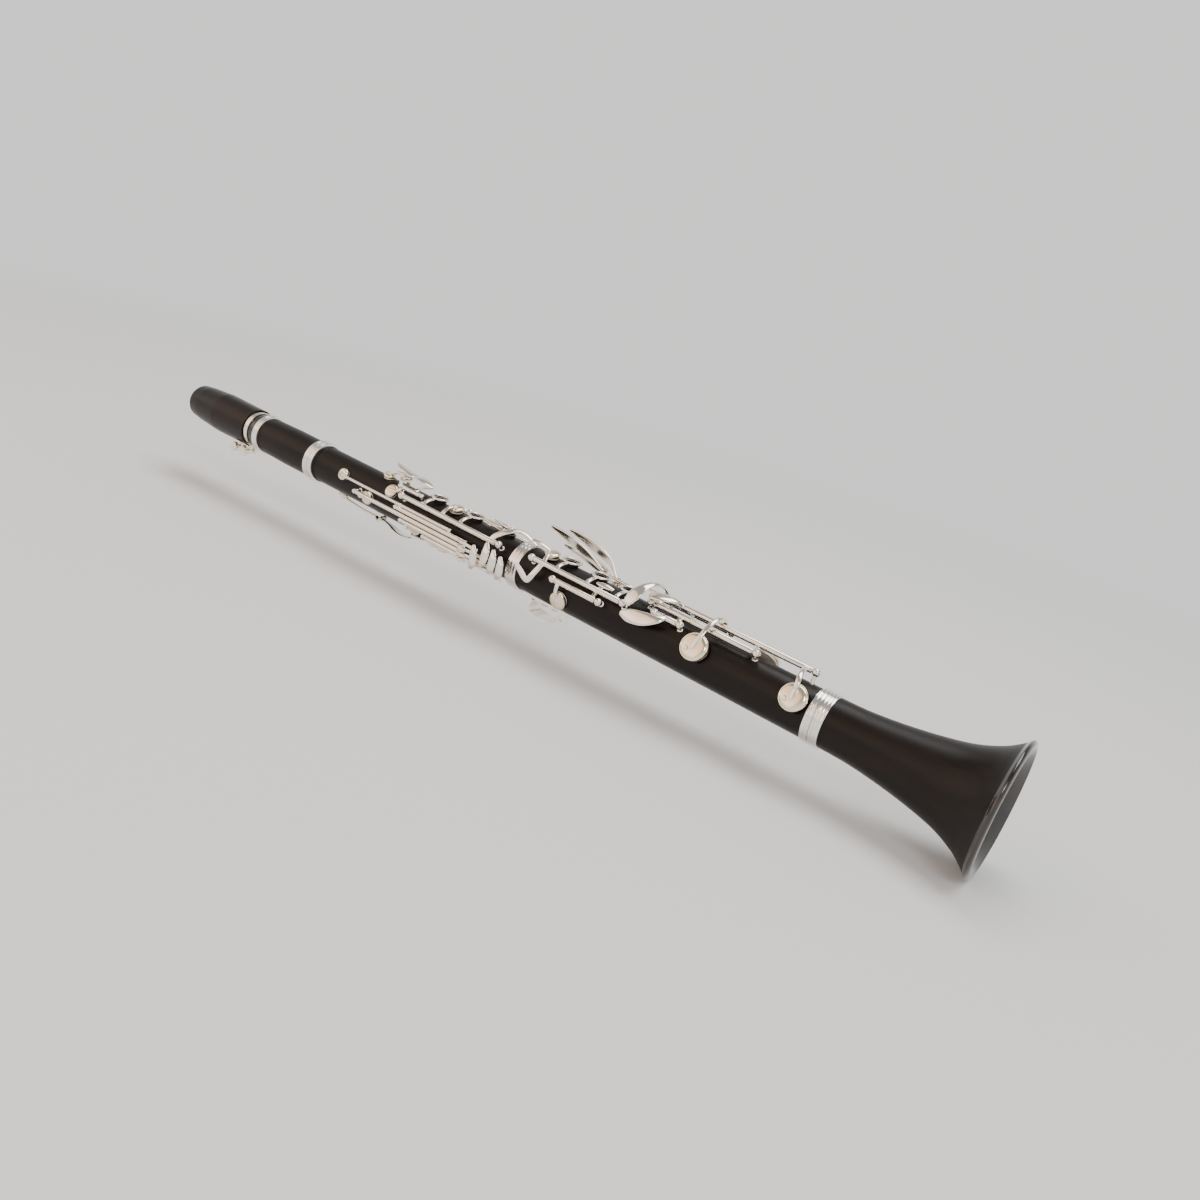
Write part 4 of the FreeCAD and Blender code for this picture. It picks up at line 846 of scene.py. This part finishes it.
def f_sharp_key():
    form = Form()
    top = cup_top("f_sharp")
    hinge_tube(form, "f_sharp")
    large_arm(form, "f_sharp", [(481.5, -26, 20.8, 3.8, 2.0), (481.2, -16, 24.6, 3.4, 1.8),
                                (480.8, -2, 26.0, 3.2, 1.6), (480, 16, 25.4, 3.0, 1.6),
                                (479, 40, 22.9, 3.0, 1.6), (478.2, 56, top + 0.7, 3.0, 1.4),
                                (478, 66, top + 0.5, 2.6, 1.2)])
    strap(form, [(440.4, -26, 21.2, 4.0, 2.0), (438.0, -15, 25.6, 4.2, 1.6), (435.0, 2, 28.4, 4.6, 1.5),
                 (432.0, 22, 28.2, 6.4, 1.6), (430.0, 38, 26.4, 8.6, 1.6), (428.5, 50, 24.6, 6.0, 1.4)], 0.5)
    return form


def a_flat_key():
    form = Form()
    hinge_tube(form, "a_flat")
    strap(form, [(457.8, 38, 19.4, 3.4, 1.8), (457.8, 28, 16.6, 3.2, 1.0), (457.8, 8, 16.3, 3.0, 1.0),
                 (458, -14, 16.5, 3.0, 1.0), (458, -25, 16.65, 3.0, 0.8), (458, -33.2, 17.4, 3.0, 0.9)], 0.05)
    strap(form, [(452.0, 38, 19.6, 4.0, 1.8), (450.0, 50, 21.2, 5.4, 1.7), (442, 60, 21.6, 8.8, 1.6),
                 (433, 65, 21.4, 8.4, 1.5), (427, 66, 20.2, 4.4, 1.3)], 0.5)
    return form


KEYS = {
    "register_key": (register_key, "register"),
    "throat_a_key": (throat_a_key, "throat_a"),
    "throat_g_sharp_key": (throat_g_sharp_key, "throat_g_sharp"),
    "trill_key_1": (trill_1_key, "trill_1"),
    "trill_key_2": (lambda: trill_key(1), "trill_2"),
    "trill_key_3": (lambda: trill_key(2), "trill_3"),
    "trill_key_4": (lambda: trill_key(3), "trill_4"),
    "upper_ring_key": (upper_ring_key, "upper_ring"),
    "upper_sliver_key": (sliver_upper_key, "sliver_upper"),
    "c_sharp_key": (c_sharp_key, "c_sharp"),
    "thumb_ring_key": (thumb_ring_key, "thumb_ring"),
    "lower_ring_key": (lower_ring_key, "lower_ring"),
    "lower_sliver_key": (sliver_lower_key, "sliver_lower"),
    "low_e_key": (e_b_key, "e_b"),
    "low_f_key": (f_c_key, "f_c"),
    "low_f_sharp_key": (f_sharp_key, "f_sharp"),
    "a_flat_key": (a_flat_key, "a_flat"),
    "left_f_sharp_lever": (lambda: lever_key("lever_f_sharp"), None),
    "left_e_lever": (lambda: lever_key("lever_e_b"), None),
    "left_f_lever": (lambda: lever_key("lever_f_c"), None),
}


def plate_keys():
    for node, (make, name) in KEYS.items():
        piece = make().piece(node + "_plated", node, SILVER, "silver")
        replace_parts(piece, node)
        if name:
            cup_piece(node, name)


# ---------------------------------------------------------------- posts
def post(form, x, phi, rho, r, outer):
    """Turned post: base, waisted stem and ball, with the slotted end of its rod on the outer side."""
    surface = body_r(x)
    neck = min(1.2, r * 0.7)
    tall = rho - surface
    lathe(form, [(-0.5, neck + 0.6), (0.45, neck + 0.6), (0.62, neck + 0.45), (0.75, neck + 0.08),
                 (tall * 0.5, neck - 0.08), (tall - r * 0.75, neck + 0.1), (tall, neck * 0.6)],
          at(x, phi, surface), outward(phi), 24)
    ball(form, at(x, phi, rho), r, outward(phi))
    tip = r * 0.93
    lathe(form, [(r * 0.6, 0.5 * r), (tip, 0.5 * r), (tip + 0.12, 0.42 * r), (tip + 0.12, 0)],
          at(x, phi, rho), Vector((outer, 0, 0)), 20)


def cradle(form, x, phi, rho, half, thick, eye_r, foot_w):
    """Pair of flat-sided ears either side of a cross-pivoted key."""
    for sign in (-1, 1):
        middle = at(x, phi, rho) + around(phi) * (sign * (half + EAR_GAP + thick / 2))
        near = middle - around(phi) * (thick / 2)
        eye = [(0, eye_r - 0.12), (0.12, eye_r), (thick - 0.12, eye_r), (thick, eye_r - 0.12)]
        lathe(form, eye, near, around(phi), 32)
        rings = []
        for height in (body_r(x) - 0.6 - rho, -0.2):
            corner = middle + outward(phi) * height
            rings.append([corner + Vector((sx * foot_w / 2, 0, 0)) + around(phi) * (sy * thick / 2)
                          for sx, sy in ((1, 1), (-1, 1), (-1, -1), (1, -1))])
        form.rings(rings)


def posts(names):
    form = Form()
    for name in names:
        phi, rho, x0, x1, tube_r = HINGES[name]
        r = SMALL_BALL_R if tube_r == SLIM_TUBE_R else BALL_R
        post(form, x0 - r - END_PLAY, phi, rho, r, -1)
        if name not in TRILLS:
            post(form, x1 + r + END_PLAY, phi, rho, r, 1)
    return form


def trill_bracket(form):
    """Curved plate that carries the lower ends of the four trill tubes."""
    low, high = UPPER_R - 0.8, HINGES["trill_1"][1] + 1.6
    x0, x1 = TRILL_BRACKET_X, TRILL_BRACKET_X + TRILL_BRACKET_T
    outline = [(x0, low), (x0, high - 0.3), (x0 + 0.3, high), (x1 - 0.3, high), (x1, high - 0.3),
               (x1, low)]
    start, sweep = TRILL_BRACKET_ARC
    form.rings([[at(x, start + sweep * i / 24, r) for x, r in outline] for i in range(25)])


def plate_posts():
    form = posts(UPPER_HINGES)
    trill_bracket(form)
    cradle(form, *REGISTER_PIVOT, CROSS_HALF, EAR_T, 2.3, 3.4)
    cradle(form, *THROAT_A_PIVOT, CROSS_HALF, EAR_T, 2.3, 3.4)
    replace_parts(form.piece("upper_posts_turned", "clarinet_body", SILVER, "silver"), "upper_posts")
    form = posts(LOWER_HINGES)
    for phi, run in LEVERS.values():
        x, rho = run[LEVER_PIVOT]
        cradle(form, x, phi, rho, LEVER_HALF, LEVER_EAR_T, 1.9, 2.6)
    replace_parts(form.piece("lower_posts_turned", "clarinet_body", SILVER, "silver"), "lower_posts")


# ---------------------------------------------------------------- rings and bell
def ring_band(form, x0, x1, outer, inner, grooves):
    """Turned metal ring: eased ends and rounded beads between its grooves."""
    ease = 0.45
    profile = [(x0, inner), (x0, outer - ease), (x0 + ease * 0.3, outer - ease * 0.3)]
    pitch = (x1 - x0) / (grooves + 1)
    for i in range(grooves + 1):
        start = x0 + pitch * i + 0.35
        end = x0 + pitch * (i + 1) - 0.35
        for k in range(7):
            t = k / 6
            profile.append((start + (end - start) * t, outer - 0.16 * (2 * t - 1) ** 2))
        if i < grooves:
            profile += [(end + 0.12, outer - 0.42), (end + 0.58, outer - 0.42)]
    profile += [(x1 - ease * 0.3, outer - ease * 0.3), (x1, outer - ease), (x1, inner)]
    lathe(form, profile, Vector((0, 0, 0)), Vector((1, 0, 0)), 128, closed=True)


BARREL_FOOT_R = JOINT_RING_R - 0.6

# Turned rings: piece, body and node, then (first and last station, outside, inside, grooves)
TURNED_RINGS = [
    ("barrel_rings_turned", "head", "barrel_rings",
     [(BARREL_TOP, BARREL_TOP + 5.6, RING_R, RING_R - RING_DEPTH, 2),
      (BARREL_BOTTOM - 4.2, BARREL_BOTTOM, BARREL_FOOT_R, BARREL_FOOT_R - RING_DEPTH, 1)]),
    ("upper_ring_turned", "clarinet_body", "upper_joint_ring",
     [(UPPER_TOP, UPPER_TOP + 4.2, JOINT_RING_R - 0.9, UPPER_R + 0.6, 1)]),
    ("lower_rings_turned", "clarinet_body", "lower_joint_rings",
     [(JOINT_LINE + 0.2, JOINT_LINE + 8.6, JOINT_RING_R, JOINT_RING_R - RING_DEPTH, 2),
      (LOWER_BOTTOM - LOWER_RING_LENGTH, LOWER_BOTTOM, BELL_RING_R, LOWER_END_R - 0.6, 1)]),
    ("bell_ring_turned", "clarinet_body", "bell_ring",
     [(LOWER_BOTTOM + 0.1, LOWER_BOTTOM + 6.1, BELL_RING_R, BELL_RING_R - RING_DEPTH, 2)]),
]


def plate_rings():
    for name, body, node, bands in TURNED_RINGS:
        form = Form()
        for band in bands:
            ring_band(form, *band)
        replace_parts(form.piece(name, body, RING_SILVER, "ring_silver"), node)


def turn_bell():
    """Bell turned in one piece: flare, rounded rim, flat lip and hollow."""
    top = LOWER_BOTTOM + 0.1
    reach = BELL_END - top
    waist = BELL_RING_R - RING_DEPTH
    rise = BELL_RIM_R - waist
    flare = [(0.065, 0.0), (0.22, 0.02), (0.40, 0.10), (0.58, 0.225), (0.74, 0.385), (0.86, 0.60),
             (0.93, 0.80), (0.965, 0.94)]
    outer = eased([(top + reach * s, waist + rise * h) for s, h in flare], 8)
    socket_end = LOWER_BOTTOM + TENON_LENGTH + 3.6
    throat_r = BORE_R + 2.2
    lip_r = BELL_RIM_R - 3.6
    depth = BELL_END - socket_end
    spread = lip_r - throat_r
    hollow = [(1.0, 1.0), (0.94, 0.80), (0.84, 0.555), (0.70, 0.36), (0.50, 0.20), (0.26, 0.085),
              (0.0, 0.0)]
    inner = eased([(socket_end + depth * s, throat_r + spread * h) for s, h in hollow], 8)
    rim = eased([outer[-1], (BELL_END - 2.3, BELL_RIM_R), (BELL_END - 0.7, BELL_RIM_R - 0.6),
                 (BELL_END, BELL_RIM_R - 2.4)], 5)
    lip = [(BELL_END, BELL_RIM_R - 3.0), (BELL_END - 0.15, lip_r + 0.25)]
    socket = [(socket_end, BELL_SOCKET_R), (top, BELL_SOCKET_R)]
    profile = [(top, waist)] + outer[:-1] + rim + lip + inner + socket
    form = Form()
    lathe(form, profile, Vector((0, 0, 0)), Vector((1, 0, 0)), 160, closed=True)
    bell = form.piece("bell_turned", "clarinet_body", WOOD, "grenadilla", 30)
    bell.data.materials.append(POLISHED)
    to_bore = SEAT.inverted()
    for face in bell.data.polygons:
        place = to_bore @ face.center
        spoke = Vector((0, place.y, place.z))
        inside = spoke.length < lip_r and face.normal.dot(SEAT.to_3x3() @ spoke) < 0
        if place.x > BELL_END - POLISHED_LIP or inside:
            face.material_index = 1
    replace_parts(bell, "bell")


# ---------------------------------------------------------------- studio
CAMERA_PLACE = Vector((0.3855, -0.5453, 0.2262))
CAMERA_AIM = Vector((-0.4783, 0.8357, -0.2700))
CAMERA_UP = Vector((-0.3751, 0.0836, 0.9232))
LENS = 31.32
PALE = (0.80, 0.80, 0.79)
OVERHEAD = (0.30, 0.29, 0.28)
GLOW = 1.30
DUSK = (0.34, 0.70)
FLOOR_HALF = 40.0
FLOOR_FADE = (0.5, 1.6)


def camera():
    aim = CAMERA_AIM.normalized()
    right = aim.cross(CAMERA_UP).normalized()
    up = right.cross(aim)
    lens = bpy.data.cameras.new("camera")
    lens.lens = LENS
    lens.sensor_width = 36.0
    lens.clip_end = 200.0
    eye = bpy.data.objects.new("camera", lens)
    turn = Matrix((right, up, -aim)).transposed().to_4x4()
    eye.matrix_world = Matrix.Translation(CAMERA_PLACE) @ turn
    bpy.context.scene.collection.objects.link(eye)
    bpy.context.scene.camera = eye


def softbox(name, place, target, size, power, colour=(1, 1, 1)):
    light = bpy.data.lights.new(name, "AREA")
    light.shape = "RECTANGLE"
    light.size, light.size_y = size
    light.energy = power
    light.color = colour
    lamp = bpy.data.objects.new(name, light)
    lamp.location = place
    lamp.rotation_euler = (Vector(target) - Vector(place)).to_track_quat("-Z", "Y").to_euler()
    bpy.context.scene.collection.objects.link(lamp)


def room():
    """Pale around the horizon and dark overhead, so that polished metal shows its shape."""
    world = bpy.data.worlds.new("room")
    world.use_nodes = True
    air = Shading(world.node_tree)
    where = air.node("ShaderNodeTexCoord", {}, {}, "Generated")
    height = air.node("ShaderNodeSeparateXYZ", {}, {0: where}, "Z")
    background = air.tree.nodes["Background"]
    air.feed(background.inputs["Color"], air.mix(air.band(height, *DUSK), PALE, OVERHEAD))
    air.feed(background.inputs["Strength"], GLOW)
    bpy.context.scene.world = world


def studio():
    """Pale floor that fades into an equally pale room, and soft lights."""
    mesh = bpy.data.meshes.new("floor")
    corners = [(x * FLOOR_HALF, y * FLOOR_HALF, 0) for x, y in ((-1, -1), (1, -1), (1, 1), (-1, 1))]
    mesh.from_pydata(corners, [], [(0, 1, 2, 3)])
    floor = bpy.data.objects.new("floor", mesh)
    bpy.context.scene.collection.objects.link(floor)
    paper = Finish("floor_paper", PALE, 0.9, specular_ior_level=0.1)
    tooth = paper.noise(300, detail=2)
    paper.set("Base Color", paper.mix(tooth, (0.79, 0.79, 0.78), (0.81, 0.81, 0.80)))
    where = paper.node("ShaderNodeTexCoord", {}, {}, "Object")
    distance = paper.node("ShaderNodeVectorMath", {"operation": "LENGTH"}, {0: where}, "Value")
    glow = paper.node("ShaderNodeEmission", {}, {"Color": (*PALE, 1), "Strength": GLOW})
    lit = Value(paper, paper.shader.outputs[0])
    blend = paper.node("ShaderNodeMixShader", {}, {0: paper.band(distance, *FLOOR_FADE), 1: lit, 2: glow})
    paper.feed(paper.tree.nodes["Material Output"].inputs["Surface"], blend)
    mesh.materials.append(paper.material)
    softbox("top_softbox", (0.25, 0.55, 2.3), (0, 0, 0.05), (2.4, 1.2), 46)
    softbox("key_softbox", (0.9, -0.9, 1.1), (0, 0, 0.05), (0.5, 0.3), 5)
    softbox("warm_card", (-0.75, -1.05, 0.85), (0.05, 0, 0.04), (2.0, 1.3), 9.5, (1.0, 0.62, 0.42))


camera()
room()
studio()
finish_cad_nodes()
plate_keys()
plate_posts()
plate_rings()
turn_bell()
